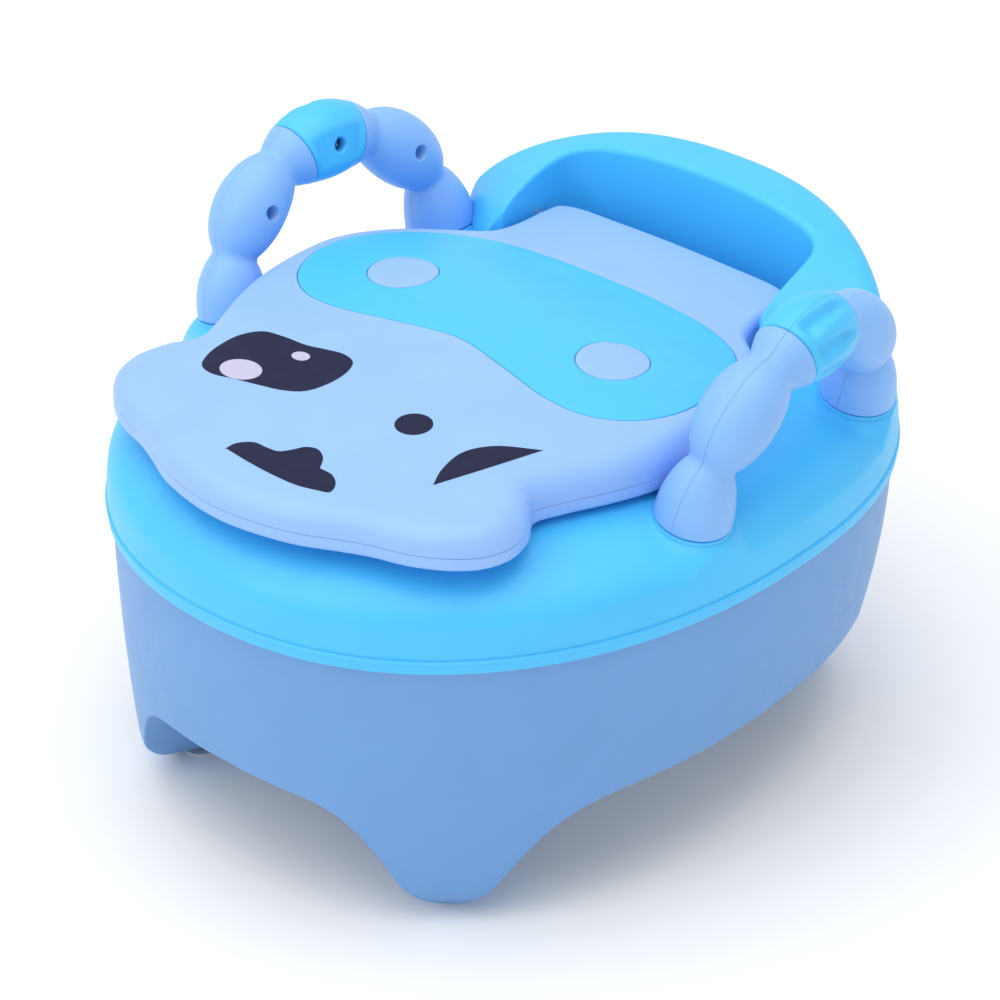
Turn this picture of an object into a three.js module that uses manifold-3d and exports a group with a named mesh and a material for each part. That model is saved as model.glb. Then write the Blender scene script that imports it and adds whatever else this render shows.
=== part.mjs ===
// A potty training chair for a toddler, in millimetres.
// +Z is up, the chair's front faces -Y, and the origin is on the floor under the middle of the chair.
// Lift-out pot, lift-off seat top with a backrest and two bead-shaped handles, and a hinged lid.
import * as THREE from "three";
import { mergeVertices } from "three/addons/utils/BufferGeometryUtils.js";
import Module from "manifold-3d";

const wasm = await Module();
wasm.setup();

const { lerp, clamp, smoothstep, degToRad } = THREE.MathUtils;

// Overall plan: an egg, wider at the rear, measured from its widest line.
const WIDEST_Y = 10;
const RIM = { halfWidth: 140, front: 172, rear: 152, frontPower: 2.15, rearPower: 2.37 };
const WALL = 3;
const GAP = 0.3;

// Base
const BASE_TOP = 119.2;
const SOLE_Z = 1.4;
const ARCHES = [
  { middle: 0, halfTurn: 32.8, height: 52, power: 5.6, shoulder: 3.95 },
  { middle: 89, halfTurn: 59, height: 51.4, power: 8.3, shoulder: 3.85 },
  { middle: 180, halfTurn: 26, height: 49, power: 5.6, shoulder: 3.95 },
];
const TAPER = 24;
const BULGES = [
  { middle: 38, width: 40, size: 18 },
  { middle: 150, width: 21, size: 6.5 },
];
const FEET = { front: 31.5, rear: 151 };
const TURN_IN = { reach: 13.4, height: 20.7 };
const SOLE_WIDTH = 22;
const LEG = { low: 8, high: 44, solid: 16, top: 58 };
const LEDGE_TOP = 112;
const LEDGE_WIDTH = 10;

// Seat top
const LIP_BOTTOM = 119.5;
const LIP_TOP = 125;
const DECK_EDGE_Z = 136;
const BACK_TOP = 198;
const BACK_HALF_TURN = 48.5;
const OPENING = { halfWidth: 70, front: 103, rear: 60, frontPower: 2, rearPower: 2 };
const SKIRT_BOTTOM = 122;
const POCKET = { halfWidth: 67, backY: 120, bow: 7 };
const HINGE_TROUGH = 12;

// Pot
const POT_FLANGE_Z = LEDGE_TOP + 0.2;
const POT_FLANGE = 3;
const POT_MOUTH = { halfWidth: 88, front: 120, rear: 92, frontPower: 2.1, rearPower: 2.2 };
const POT_BOTTOM = 44;

// Lid, with its hinge across the rear end of the flap
const LID_BOTTOM = 157.2;
const LID_TILT = -0.0215;
const LID_CENTRE_Y = -20;
const LID_ROUND = 11;
const FLAP_ROUND = 4;
const LID_LIFT = 0.6;
const LID_SEAM = 5.7;
const LID_OUTLINE = [
  [0, -154], [31, -148.5], [49, -140], [59, -135.5], [73, -131], [86, -123.5], [94.5, -114],
  [97.5, -102], [94, -89], [87, -78], [90.5, -66], [99, -46], [104.5, -28], [107, -4],
  [104.5, 22], [94, 46], [79, 61], [67, 71], [63.8, 80], [62.6, 98], [61, 106], [54, 109.5],
  [28, 110],
];
const MUZZLE_CENTRE_Y = 16;
const MUZZLE_OUTLINE = [
  [0, -22.5], [26, -27.5], [54, -33.5], [72, -32], [87, -22], [95.5, -5], [95.5, 14],
  [89, 35], [76, 52], [56, 61.5], [30, 65], [0, 65.5],
];
const NOSTRIL = { x: 54.2, y: 4.7, radius: 14.5 };
const INLAY_DEPTH = 1.6;
const HINGE = { y: 101, z: 165, radius: 2.8, reach: 9, sunk: 14 };

// Handles: beads along half an ellipse that stands on two bosses and leans outward
const HANDLE = { x: 114.3, y: 30.4, z: 152, reach: 56.8, height: 55, lean: 11.5, yaw: 5 };
const BEAD = 15;
const NECK = 8.6;
const COLLAR = { start: 9.4, end: 14 };
const FOOT_END = 24.2;
const BEAD_END = 65.8;
const GRIP_HALF_TURN = 14.3;
const GRIP = { middle: 16, end: 13.7 };
const GRIP_CORE = 8;
const SCREW_TURNS = [45, 90, 135];
const SCREW = { head: 3, headLength: 2.4, shank: 1.5, length: 13 };
const SCREW_DEPTH = { bead: 6.5, grip: 4.5 };

const PALE_BLUE = 0xa9d2fb;
const CYAN = 0x66c6f8;
const POT_BLUE = 0xcfe6fb;

const up = new THREE.Vector3(0, 0, 1);

// ---- Shapes -------------------------------------------------------------------------------

function eggRadius(angle, egg, inset = 0) {
  const x = Math.abs(Math.cos(angle));
  const y = Math.abs(Math.sin(angle));
  const rear = Math.sin(angle) > 0;
  const power = rear ? egg.rearPower : egg.frontPower;
  const length = (rear ? egg.rear : egg.front) - inset;
  const sum = (x / (egg.halfWidth - inset)) ** power + (y / length) ** power;
  return sum ** (-1 / power);
}

// Degrees between a plan direction and straight back (0) or straight ahead (180).
function turnFromRear(angle) {
  return THREE.MathUtils.radToDeg(Math.acos(clamp(Math.sin(angle), -1, 1)));
}

// A skin over rings of points: a ring of one point closes an end, and a loop joins last to first.
function skin(rings, loop = false) {
  const points = rings.flat();
  const starts = rings.map((_, i) => rings.slice(0, i).reduce((n, ring) => n + ring.length, 0));
  const faces = [];
  const last = loop ? rings.length : rings.length - 1;
  for (let i = 0; i < last; i += 1) {
    const next = (i + 1) % rings.length;
    const count = Math.max(rings[i].length, rings[next].length);
    for (let j = 0; j < count; j += 1) {
      const here = [j, (j + 1) % count].map((k) => starts[i] + (rings[i].length > 1 ? k : 0));
      const there = [j, (j + 1) % count].map((k) => starts[next] + (rings[next].length > 1 ? k : 0));
      if (here[0] !== here[1]) faces.push(here[0], here[1], there[0]);
      if (there[0] !== there[1]) faces.push(here[1], there[1], there[0]);
    }
  }
  const geometry = new THREE.BufferGeometry().setFromPoints(points);
  geometry.setIndex(faces);
  return facingOut(geometry);
}

function facingOut(geometry) {
  const p = geometry.attributes.position;
  const index = geometry.index.array;
  const corner = (k) => new THREE.Vector3().fromBufferAttribute(p, index[k]);
  let volume = 0;
  for (let k = 0; k < index.length; k += 3) {
    volume += corner(k).dot(corner(k + 1).cross(corner(k + 2)));
  }
  if (volume < 0) index.reverse();
  return geometry;
}

// Plan angles all round at even steps.
function evenAngles(steps) {
  return Array.from({ length: steps }, (_, j) => (j / steps) * 2 * Math.PI);
}

// Sweeps a profile of [radius, z] pairs, given for each plan angle, round the middle of the chair.
function sweep(profileAt, angles, loop = false) {
  const profiles = angles.map((angle) => profileAt(angle).map(([radius, z]) => (
    new THREE.Vector3(radius * Math.cos(angle), WIDEST_Y + radius * Math.sin(angle), z)
  )));
  const rings = profiles[0].map((_, i) => profiles.map((profile) => profile[i]));
  if (!loop) {
    rings[0].length = 1;
    rings[rings.length - 1].length = 1;
  }
  return skin(rings, loop);
}

// The same [radius, z] line moved sideways by a wall's thickness.
function offsetLine(line, distance) {
  return line.map(([radius, z], i) => {
    const [r0, z0] = line[Math.max(i - 1, 0)];
    const [r1, z1] = line[Math.min(i + 1, line.length - 1)];
    const length = Math.hypot(r1 - r0, z1 - z0);
    return [radius + (distance * (z0 - z1)) / length, z + (distance * (r1 - r0)) / length];
  });
}

// Quarter of an ellipse from [r0, z0] to [r1, z1]; it leaves upright, or level if level is true.
function quarter(r0, z0, r1, z1, steps, level = false) {
  return Array.from({ length: steps + 1 }, (_, i) => {
    const turn = (i / steps) * (Math.PI / 2);
    const u = level ? Math.sin(turn) : 1 - Math.cos(turn);
    const v = level ? 1 - Math.cos(turn) : Math.sin(turn);
    return [lerp(r0, r1, u), lerp(z0, z1, v)];
  });
}

function solid(geometry) {
  const bare = new THREE.BufferGeometry();
  bare.setAttribute("position", geometry.attributes.position);
  bare.setIndex(geometry.index);
  const merged = mergeVertices(bare, 1e-4);
  return new wasm.Manifold(new wasm.Mesh({
    numProp: 3,
    vertProperties: new Float32Array(merged.attributes.position.array),
    triVerts: new Uint32Array(merged.index.array),
  }));
}

function fromSolid(shape) {
  const mesh = shape.getMesh();
  const geometry = new THREE.BufferGeometry();
  geometry.setAttribute("position", new THREE.BufferAttribute(mesh.vertProperties, 3));
  geometry.setIndex(new THREE.BufferAttribute(mesh.triVerts, 1));
  return geometry;
}

function cut(geometry, ...tools) {
  return fromSolid(tools.reduce((left, tool) => left.subtract(solid(tool)), solid(geometry)));
}

function join(geometry, ...others) {
  return fromSolid(others.reduce((left, other) => left.add(solid(other)), solid(geometry)));
}

// A round bar from a start point along a direction.
function bar(start, direction, length, radius, segments = 20) {
  const geometry = new THREE.CylinderGeometry(radius, radius, length, segments);
  geometry.translate(0, length / 2, 0);
  geometry.applyQuaternion(
    new THREE.Quaternion().setFromUnitVectors(new THREE.Vector3(0, 1, 0), direction),
  );
  geometry.translate(start.x, start.y, start.z);
  return geometry;
}

// ---- Base ---------------------------------------------------------------------------------

function turnFromFront(angle) {
  return 180 - turnFromRear(angle);
}

// The wall's inset from the rim: it tapers downward, bulges at the feet and turns in at the floor.
function baseInset(angle, z) {
  const drop = clamp(1 - z / LIP_BOTTOM, 0, 1);
  const turn = turnFromFront(angle);
  const bulge = BULGES.reduce((sum, { middle, width, size }) => (
    sum + size * Math.exp(-(((turn - middle) / width) ** 2))
  ), 0);
  const turnIn = TURN_IN.reach * clamp(1 - z / TURN_IN.height, 0, 1) ** 2;
  return 2.3 + (TAPER - bulge) * drop ** 1.95 + turnIn;
}

// The lower edge: arches that die out softly at the feet.
function baseEdge(angle) {
  const turn = turnFromFront(angle);
  return SOLE_Z + Math.max(...ARCHES.map((arch) => {
    const share = Math.min(Math.abs(turn - arch.middle) / arch.halfTurn, 1);
    return arch.height * (1 - share ** arch.power) ** arch.shoulder;
  }));
}

// The wall fills out into a closed leg above each foot.
function baseProfile(angle) {
  const edge = baseEdge(angle);
  const radiusAt = (z) => eggRadius(angle, RIM, baseInset(angle, z));
  const outside = [1, 0.75, 0.5, 0.3, 0.17, 0.1, 0.05, 0.015].map((share) => {
    const z = lerp(edge + 1, BASE_TOP, share);
    return [radiusAt(z), z];
  });
  const leg = 1 - smoothstep(edge - SOLE_Z, LEG.low, LEG.high);
  const foot = radiusAt(edge) - 1;
  const heel = foot - lerp(WALL, SOLE_WIDTH, leg);
  const inside = outside.slice(1, -1).reverse().map(([radius, z]) => {
    const filled = leg * (1 - smoothstep(z - edge, LEG.solid, LEG.top));
    return [lerp(radius - WALL, heel, filled), z];
  });
  const top = radiusAt(LEDGE_TOP) - WALL;
  return [
    ...outside,
    [foot, edge],
    [heel, edge],
    [heel, edge + WALL],
    [lerp(radiusAt(edge) - WALL - 1, heel, leg), edge + WALL + 1],
    ...inside,
    [top, LEDGE_TOP - WALL],
    [top - LEDGE_WIDTH, LEDGE_TOP - WALL],
    [top - LEDGE_WIDTH, LEDGE_TOP],
    [top, LEDGE_TOP],
    [radiusAt(BASE_TOP) - WALL, BASE_TOP],
  ];
}

// Angles that crowd together at the feet.
function baseAngles() {
  const turns = [
    0, 8, 13, 16.5, 19.5, 22, 24.5, 27, 29.5, 31.5, 34, 36.5, 39, 41.5, 44, 47, 51, 58, 70, 84,
    98, 111, 122, 129, 134, 138, 142, 145.5, 148.5, 151, 153.5, 156, 159, 162, 165.5, 170, 180,
  ];
  const right = turns.map((turn) => degToRad(turn - 90));
  const left = turns.slice(1, -1).toReversed().map((turn) => degToRad(-90 - turn));
  return [...right, ...left];
}

function baseShell() {
  return sweep(baseProfile, baseAngles(), true);
}

function footPad(turn) {
  const angle = degToRad(turn - 90);
  const middle = eggRadius(angle, RIM, baseInset(angle, SOLE_Z)) - SOLE_WIDTH / 2 - 1;
  const pad = new THREE.CylinderGeometry(1, 1, SOLE_Z - 0.2, 24);
  pad.rotateX(Math.PI / 2);
  pad.scale(SOLE_WIDTH / 2 - 4, 6, 1);
  pad.rotateZ(angle);
  pad.translate(middle * Math.cos(angle), WIDEST_Y + middle * Math.sin(angle), (SOLE_Z - 0.2) / 2);
  return pad;
}

// ---- Pot ----------------------------------------------------------------------------------

function innerPot() {
  const profile = (angle) => {
    const mouth = eggRadius(angle, POT_MOUTH);
    const edge = eggRadius(angle, RIM, baseInset(angle, LEDGE_TOP)) - WALL - 1;
    const top = POT_FLANGE_Z + POT_FLANGE;
    const heel = mouth * 0.8;
    const inside = [
      [mouth, top],
      [mouth - 3, top - 4],
      [heel + 5, POT_BOTTOM + 18],
      [heel - 3, POT_BOTTOM + 8],
      [heel - 17, POT_BOTTOM + WALL],
    ];
    const outside = offsetLine(inside.slice(1), WALL);
    return [
      [0, POT_BOTTOM + WALL],
      ...inside.toReversed(),
      [edge, top],
      [edge, POT_FLANGE_Z],
      [mouth + 2.5, POT_FLANGE_Z],
      ...outside.slice(1),
      [0, POT_BOTTOM],
    ];
  };
  return sweep(profile, evenAngles(40));
}

// ---- Seat top -----------------------------------------------------------------------------

// 1 straight behind, falling to 0 where the backrest's shoulders end in front of the handles' feet.
function backRise(angle) {
  const share = clamp(turnFromRear(angle) / BACK_HALF_TURN, 0, 1);
  return (1 - share ** 3.1) ** 0.6;
}

// Angles that crowd together at the pocket's corners and at the ends of the shoulders.
function seatAngles() {
  const turns = [
    0, 6, 12, 18, 23, 26, 28.5, 31, 33.5, 37, 41, 44, 46, 47.6, 48.6, 53, 58, 64, 70, 77, 84,
    91, 98, 106, 114, 122, 130, 138, 146, 154, 162, 171, 180,
  ];
  const right = turns.map((turn) => degToRad(90 - turn)).toReversed();
  const left = turns.slice(1, -1).map((turn) => degToRad(90 + turn));
  return [...right, ...left];
}

function seatWallInset(z) {
  return 0.4 + 9.5 * clamp((z - LIP_TOP) / 61, 0, 1.3) ** 1.6;
}

// Height of the deck's dome, from the edge of its wall up to its crest round the opening.
function domeHeight(angle, radius) {
  const edge = eggRadius(angle, RIM, seatWallInset(DECK_EDGE_Z));
  const crest = eggRadius(angle, OPENING) + 9;
  const share = clamp((edge - radius) / (edge - crest), 0, 1);
  const crestZ = lidBottom(WIDEST_Y + radius * Math.sin(angle)) - LID_LIFT;
  return lerp(DECK_EDGE_Z, crestZ, Math.sqrt(1 - (1 - share) ** 2));
}

// Distance from the middle of the chair to the pocket that holds the lid's flap.
function pocketRadius(angle) {
  const turn = degToRad(turnFromRear(angle));
  const side = POCKET.halfWidth / Math.max(Math.sin(turn), 0.01);
  const bow = POCKET.bow * Math.cos(Math.min(turn * 2.6, Math.PI / 2));
  const back = (POCKET.backY - WIDEST_Y + bow) / Math.max(Math.cos(turn), 0.01);
  const power = 14;
  const box = (side ** -power + back ** -power) ** (-1 / power);
  const besideCheek = 97 + 0.38 * (turnFromRear(angle) - 47);
  return turnFromRear(angle) < 40 ? box : Math.max(box, besideCheek);
}

// The deck's dome at every angle, raised into the backrest behind.
function seatProfile(angle) {
  const rim = eggRadius(angle, RIM);
  const opening = eggRadius(angle, OPENING);
  const rise = backRise(angle);
  const turn = turnFromRear(angle);
  const backness = smoothstep(rise, 0, 0.35);
  const beside = smoothstep(turn, BACK_HALF_TURN, 75);
  const round = 5;

  const pocket = pocketRadius(angle);
  const brim = domeHeight(angle, pocket);
  const floor = brim - HINGE_TROUGH;
  const top = lerp(brim, BACK_TOP, rise);
  const wallTop = lerp(DECK_EDGE_Z, top - 2 * round, backness);
  const wall = [0, 0.35, 0.7, 1].map((share) => {
    const z = lerp(LIP_TOP + 0.3, wallTop, share);
    return [rim - seatWallInset(z), z];
  });
  const shoulder = wall[3][0];
  const back = [
    ...quarter(shoulder, wallTop, shoulder - 9, top, 4).slice(1),
    [pocket + round, top],
    [pocket + 1.5, top - 1.5],
    [pocket, top - round],
    [pocket - 0.5, floor + round],
    [pocket - 2, floor + 1.5],
    [pocket - round - 0.5, floor],
  ];
  const shares = [0.02, 0.08, 0.19, 0.34, 0.5, 0.58, 0.66, 0.74, 0.82, 0.91];
  const blended = back.map(([radius, z], i) => {
    const domeRadius = lerp(shoulder, opening + 9, shares[i]);
    const r = lerp(radius, domeRadius, beside);
    return [r, lerp(domeHeight(angle, r), z, backness)];
  });
  const lipZ = domeHeight(angle, opening);
  const outside = [
    ...wall,
    ...blended,
    ...quarter(opening + 9, lipZ, opening, lipZ - 8, 3, true),
    [opening, SKIRT_BOTTOM],
  ];
  const every = outside.filter((_, i) => i % 2 === 0);
  const inside = offsetLine(every, WALL).toReversed();
  return [
    [rim, LIP_BOTTOM],
    [rim, LIP_TOP - 0.8],
    [rim - 0.4, LIP_TOP],
    ...outside,
    ...inside,
    [rim - 7, LIP_BOTTOM],
  ];
}

// ---- Handle frame -------------------------------------------------------------------------

// side is 1 for the +X handle and -1 for the other. Turns run from the front foot (0) over the
// top (90) to the rear foot (180).
function handleFrame(side) {
  const along = new THREE.Vector3(0, 1, 0);
  along.applyAxisAngle(up, degToRad(HANDLE.yaw) * side);
  const rise = up.clone().applyAxisAngle(along, degToRad(HANDLE.lean) * side);
  const inward = along.clone().cross(rise).multiplyScalar(-side);
  const middle = new THREE.Vector3(HANDLE.x * side, HANDLE.y, HANDLE.z);
  const pointAt = (turn) => middle.clone()
    .addScaledVector(along, -Math.cos(degToRad(turn)) * HANDLE.reach)
    .addScaledVector(rise, Math.sin(degToRad(turn)) * HANDLE.height);
  const outwardAt = (turn) => new THREE.Vector3()
    .addScaledVector(along, -Math.cos(degToRad(turn)) * HANDLE.height)
    .addScaledVector(rise, Math.sin(degToRad(turn)) * HANDLE.reach)
    .normalize();
  return { along, rise, inward, pointAt, outwardAt };
}

// A solid bent along the handle's arch and cut at its parting plane. The outline gives
// [outer radius, inner radius] at each turn; half is 1 for the inner half and -1 for the outer.
function handleHalf(frame, half, turns, outlineAt) {
  const arcSteps = 6;
  const rings = turns.map((turn) => {
    const [outer, inner] = outlineAt(turn);
    const middle = frame.pointAt(turn);
    const radial = frame.outwardAt(turn);
    const place = (radius, share) => {
      const bend = Math.PI * share;
      return middle.clone()
        .addScaledVector(radial, radius * Math.cos(bend))
        .addScaledVector(frame.inward, half * (radius * Math.sin(bend) + 0.1));
    };
    const outerArc = Array.from({ length: arcSteps + 1 }, (_, i) => place(outer, i / arcSteps));
    if (!inner) return outerArc;
    const innerArc = Array.from({ length: arcSteps + 1 }, (_, i) => place(inner, 1 - i / arcSteps));
    return [...outerArc, ...innerArc];
  });
  const capAt = (ring) => [ring.reduce((sum, p) => sum.add(p), new THREE.Vector3())
    .divideScalar(ring.length)];
  if (outlineAt(turns[0])[1]) return tube(rings);
  return skin([capAt(rings[0]), ...rings, capAt(rings[rings.length - 1])]);
}

// A skin over C-shaped rings whose two ends are closed strip by strip.
function tube(rings) {
  const half = rings[0].length / 2;
  const points = rings.flat();
  const size = rings[0].length;
  const faces = [];
  const quad = (a, b, c, d) => faces.push(a, b, c, a, c, d);
  for (let i = 0; i < rings.length - 1; i += 1) {
    for (let j = 0; j < size; j += 1) {
      const k = (j + 1) % size;
      quad(i * size + j, i * size + k, (i + 1) * size + k, (i + 1) * size + j);
    }
  }
  const end = (rings.length - 1) * size;
  for (let j = 0; j < half - 1; j += 1) {
    quad(j + 1, j, size - 1 - j, size - 2 - j);
    quad(end + j, end + j + 1, end + size - 2 - j, end + size - 1 - j);
  }
  const geometry = new THREE.BufferGeometry().setFromPoints(points);
  geometry.setIndex(faces);
  return facingOut(geometry);
}

// Radius of an ellipsoid bead that is cut off at a neck, at a share of the way to that neck.
function ellipsoid(share, neck) {
  return BEAD * Math.sqrt(1 - (1 - (neck / BEAD) ** 2) * share ** 2);
}

// Radius of the beads at a turn, the same on both sides of the top.
function beadRadius(turn) {
  const t = Math.min(turn, 180 - turn);
  const gripStart = 90 - GRIP_HALF_TURN;
  if (t < FOOT_END) return ellipsoid(t / FOOT_END, NECK);
  if (t < BEAD_END) {
    const share = (2 * t - FOOT_END - BEAD_END) / (BEAD_END - FOOT_END);
    return ellipsoid(share, share < 0 ? NECK : COLLAR.start);
  }
  const share = (t - BEAD_END) / (gripStart - BEAD_END);
  return t < gripStart ? lerp(COLLAR.start, COLLAR.end, share ** 0.8) : GRIP_CORE;
}

function handleTurns() {
  const gripStart = 90 - GRIP_HALF_TURN;
  const quarterTurns = [
    0, 6, 12, 17, 21, FOOT_END, 27.5, 32, 38, 45, 52, 58, 62.5, BEAD_END, 70,
    gripStart - GAP / 2, gripStart, 82.5,
  ];
  return [...quarterTurns, 90, ...quarterTurns.toReversed().map((turn) => 180 - turn)];
}

function gripOutline(turn) {
  const away = Math.abs(turn - 90) / GRIP_HALF_TURN;
  return [lerp(GRIP.middle, GRIP.end, away ** 2), GRIP_CORE + GAP];
}

function gripTurns() {
  const reach = GRIP_HALF_TURN - 0.3;
  return [-1, -0.6, -0.2, 0.2, 0.6, 1].map((share) => 90 + share * reach);
}

function screwDepth(turn) {
  return turn === 90 ? SCREW_DEPTH.grip : SCREW_DEPTH.bead;
}

// The screw's head plane lies below the surface of the inner half.
function screwStart(frame, turn) {
  const surface = turn === 90 ? gripOutline(90)[0] : BEAD;
  return frame.pointAt(turn).addScaledVector(frame.inward, surface - screwDepth(turn));
}

function screwHole(frame, turn) {
  const start = screwStart(frame, turn);
  const inward = frame.inward.clone();
  const seat = start.clone().addScaledVector(inward, -SCREW.headLength - GAP);
  const end = start.clone().addScaledVector(inward, -SCREW.length - 1);
  const well = bar(seat, inward, 24, SCREW.head + GAP, 12);
  const pilot = bar(end, inward, SCREW.length + 2, SCREW.shank + GAP, 8);
  return join(well, pilot);
}

function screw(frame, turn) {
  const { head, headLength, shank, length } = SCREW;
  const profile = [
    [0, 0.9], [1, 0.9], [1, 0], [head - 0.5, 0], [head, 0.5], [head, headLength],
    [shank, headLength], [shank, length - 2], [0, length],
  ];
  const points = profile.map(([radius, depth]) => new THREE.Vector2(radius, -depth)).reverse();
  const geometry = new THREE.LatheGeometry(points, 8);
  geometry.applyQuaternion(
    new THREE.Quaternion().setFromUnitVectors(new THREE.Vector3(0, 1, 0), frame.inward),
  );
  const start = screwStart(frame, turn);
  geometry.translate(start.x, start.y, start.z);
  return geometry;
}

// ---- Seat top, finished -------------------------------------------------------------------

function boss(frame, turn) {
  const top = frame.pointAt(turn).addScaledVector(frame.rise, -GAP);
  return bar(top, frame.rise.clone().negate(), 16, BEAD + 0.9, 20);
}

// Room for a foot that stands on its boss.
function footRoom(frame, turn) {
  const bottom = frame.pointAt(turn).addScaledVector(frame.rise, -GAP);
  return bar(bottom, frame.rise, 32, BEAD + GAP, 20);
}

function seatTop(frames) {
  const bosses = frames.flatMap((frame) => [boss(frame, 0), boss(frame, 180)]);
  const rooms = frames.flatMap((frame) => [footRoom(frame, 0), footRoom(frame, 180)]);
  const pinHoles = [-1, 1].map((side) => hingeBar(side, GAP, 2));
  return cut(join(sweep(seatProfile, seatAngles(), true), ...bosses), ...rooms, ...pinHoles);
}

// ---- Lid ----------------------------------------------------------------------------------

// The crowned top of the lid, highest across the muzzle.
function lidCrown(x, y) {
  const front = Math.max(5 - y, 0);
  const fall = 10 * smoothstep(y, 5, 75);
  return 182.3 - 3e-4 * front ** 2 - fall - 4.5e-4 * x ** 2;
}

function lidBottom(y) {
  return LID_BOTTOM + LID_TILT * y;
}

// A smooth closed outline, counter-clockwise, from half an outline that is mirrored.
function mirrored(half, steps) {
  const inner = half.filter(([x]) => x > 0).reverse();
  const points = [...half, ...inner.map(([x, y]) => [-x, y])];
  const curve = new THREE.CatmullRomCurve3(
    points.map(([x, y]) => new THREE.Vector3(x, y, 0)),
    true,
  );
  return curve.getSpacedPoints(steps).slice(0, steps);
}

// The outline moved inward, square to itself, by a distance or by a function of the point.
function inward(outline, distance) {
  return outline.map((point, i) => {
    const before = outline[(i + outline.length - 1) % outline.length];
    const after = outline[(i + 1) % outline.length];
    const tangent = after.clone().sub(before).normalize();
    const step = typeof distance === "function" ? distance(point) : distance;
    return new THREE.Vector3(point.x - tangent.y * step, point.y + tangent.x * step, 0);
  });
}

function shrunk(outline, centreY, share) {
  return outline.map((p) => new THREE.Vector3(p.x * share, lerp(centreY, p.y, share), 0));
}

function raised(outline, heightAt) {
  return outline.map((p) => new THREE.Vector3(p.x, p.y, heightAt(p.x, p.y)));
}

// The edge's rounding: small along the flap, and never down to the seam.
function lidRound({ x, y }) {
  const room = lidCrown(x, y) - lidBottom(y) - LID_SEAM - 1;
  return Math.min(lerp(LID_ROUND, FLAP_ROUND, smoothstep(y, 15, 72)), room);
}

function lidTopRings(outline, shrink) {
  const turns = [90, 60, 32, 0];
  const edgeRings = turns.map((turn) => {
    const radiusAt = (point) => lidRound(point) - shrink;
    const inset = (point) => shrink + radiusAt(point) * (1 - Math.sin(degToRad(turn)));
    return inward(outline, inset).map((point, i) => {
      const fall = shrink + radiusAt(outline[i]) * (1 - Math.cos(degToRad(turn)));
      return point.setZ(lidCrown(point.x, point.y) - fall);
    });
  });
  const brink = inward(outline, lidRound);
  const inner = [0.66, 0.33].map((share) => (
    raised(shrunk(brink, LID_CENTRE_Y, share), (x, y) => lidCrown(x, y) - shrink)
  ));
  const pole = [new THREE.Vector3(0, LID_CENTRE_Y, lidCrown(0, LID_CENTRE_Y) - shrink)];
  return [...edgeRings, ...inner, pole];
}

function lidUpper(outline) {
  const seam = (x, y) => lidBottom(y) + LID_SEAM + GAP / 2;
  const shell = skin([
    ...lidTopRings(outline, 0).toReversed(),
    raised(outline, seam),
    raised(inward(outline, WALL), seam),
    ...lidTopRings(outline, WALL),
  ]);
  const bores = [-1, 1].map((side) => hingeBar(side, GAP));
  const lugs = [-1, 1].map((side) => hingeLug(side));
  return cut(join(shell, ...lugs), muzzleSlab(0, -INLAY_DEPTH, 4), ...bores);
}

function lidLower(outline) {
  const seam = (x, y) => lidBottom(y) + LID_SEAM - GAP / 2;
  const floor = (x, y) => lidBottom(y);
  const inside = (x, y) => lidBottom(y) + 2.5;
  const rings = [
    [new THREE.Vector3(0, LID_CENTRE_Y, lidBottom(LID_CENTRE_Y))],
    raised(shrunk(outline, LID_CENTRE_Y, 0.5), floor),
    raised(inward(outline, 2), floor),
    raised(inward(outline, 0.5), (x, y) => lidBottom(y) + 0.6),
    raised(outline, (x, y) => lidBottom(y) + 2),
    raised(outline, seam),
    raised(inward(outline, WALL), seam),
    raised(inward(outline, WALL + 0.5), inside),
    raised(shrunk(outline, LID_CENTRE_Y, 0.5), inside),
    [new THREE.Vector3(0, LID_CENTRE_Y, lidBottom(LID_CENTRE_Y) + 2.5)],
  ];
  return skin(rings);
}

// A slab in the muzzle's outline between two levels measured from the crown.
function muzzleSlab(inset, bottom, top) {
  const outline = inward(mirrored(MUZZLE_OUTLINE, 44), inset);
  const shares = [1, 0.5];
  const layer = (level) => shares.map((share) => (
    raised(shrunk(outline, MUZZLE_CENTRE_Y, share), (x, y) => lidCrown(x, y) + level)
  ));
  const pole = (level) => [
    new THREE.Vector3(0, MUZZLE_CENTRE_Y, lidCrown(0, MUZZLE_CENTRE_Y) + level),
  ];
  return skin([pole(top), ...layer(top).toReversed(), ...layer(bottom), pole(bottom)]);
}

function nostrilSlab(side, inset, bottom, top) {
  const ring = (level) => Array.from({ length: 20 }, (_, i) => {
    const turn = (i / 20) * 2 * Math.PI;
    const x = side * NOSTRIL.x + (NOSTRIL.radius - inset) * Math.cos(turn);
    const y = NOSTRIL.y + (NOSTRIL.radius - inset) * Math.sin(turn);
    return new THREE.Vector3(x, y, lidCrown(x, y) + level);
  });
  const pole = (level) => {
    const x = side * NOSTRIL.x;
    return [new THREE.Vector3(x, NOSTRIL.y, lidCrown(x, NOSTRIL.y) + level)];
  };
  return skin([pole(top), ring(top), ring(bottom), pole(bottom)]);
}

function muzzleInlay() {
  const holes = [-1, 1].map((side) => nostrilSlab(side, 0, -4, 4));
  return cut(muzzleSlab(GAP, GAP - INLAY_DEPTH, 0.2), ...holes);
}

function nostrilButton(side) {
  return nostrilSlab(side, GAP, GAP - INLAY_DEPTH, 0.3);
}

// ---- Hinge --------------------------------------------------------------------------------

function hingeBar(side, clearance = 0, extra = 0) {
  const start = new THREE.Vector3(side * (POCKET.halfWidth - 3 - HINGE.sunk), HINGE.y, HINGE.z);
  const length = HINGE.sunk + HINGE.reach + extra;
  const direction = new THREE.Vector3(side, 0, 0);
  start.x -= side * clearance;
  return bar(start, direction, length + clearance, HINGE.radius + clearance, 16);
}

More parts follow.
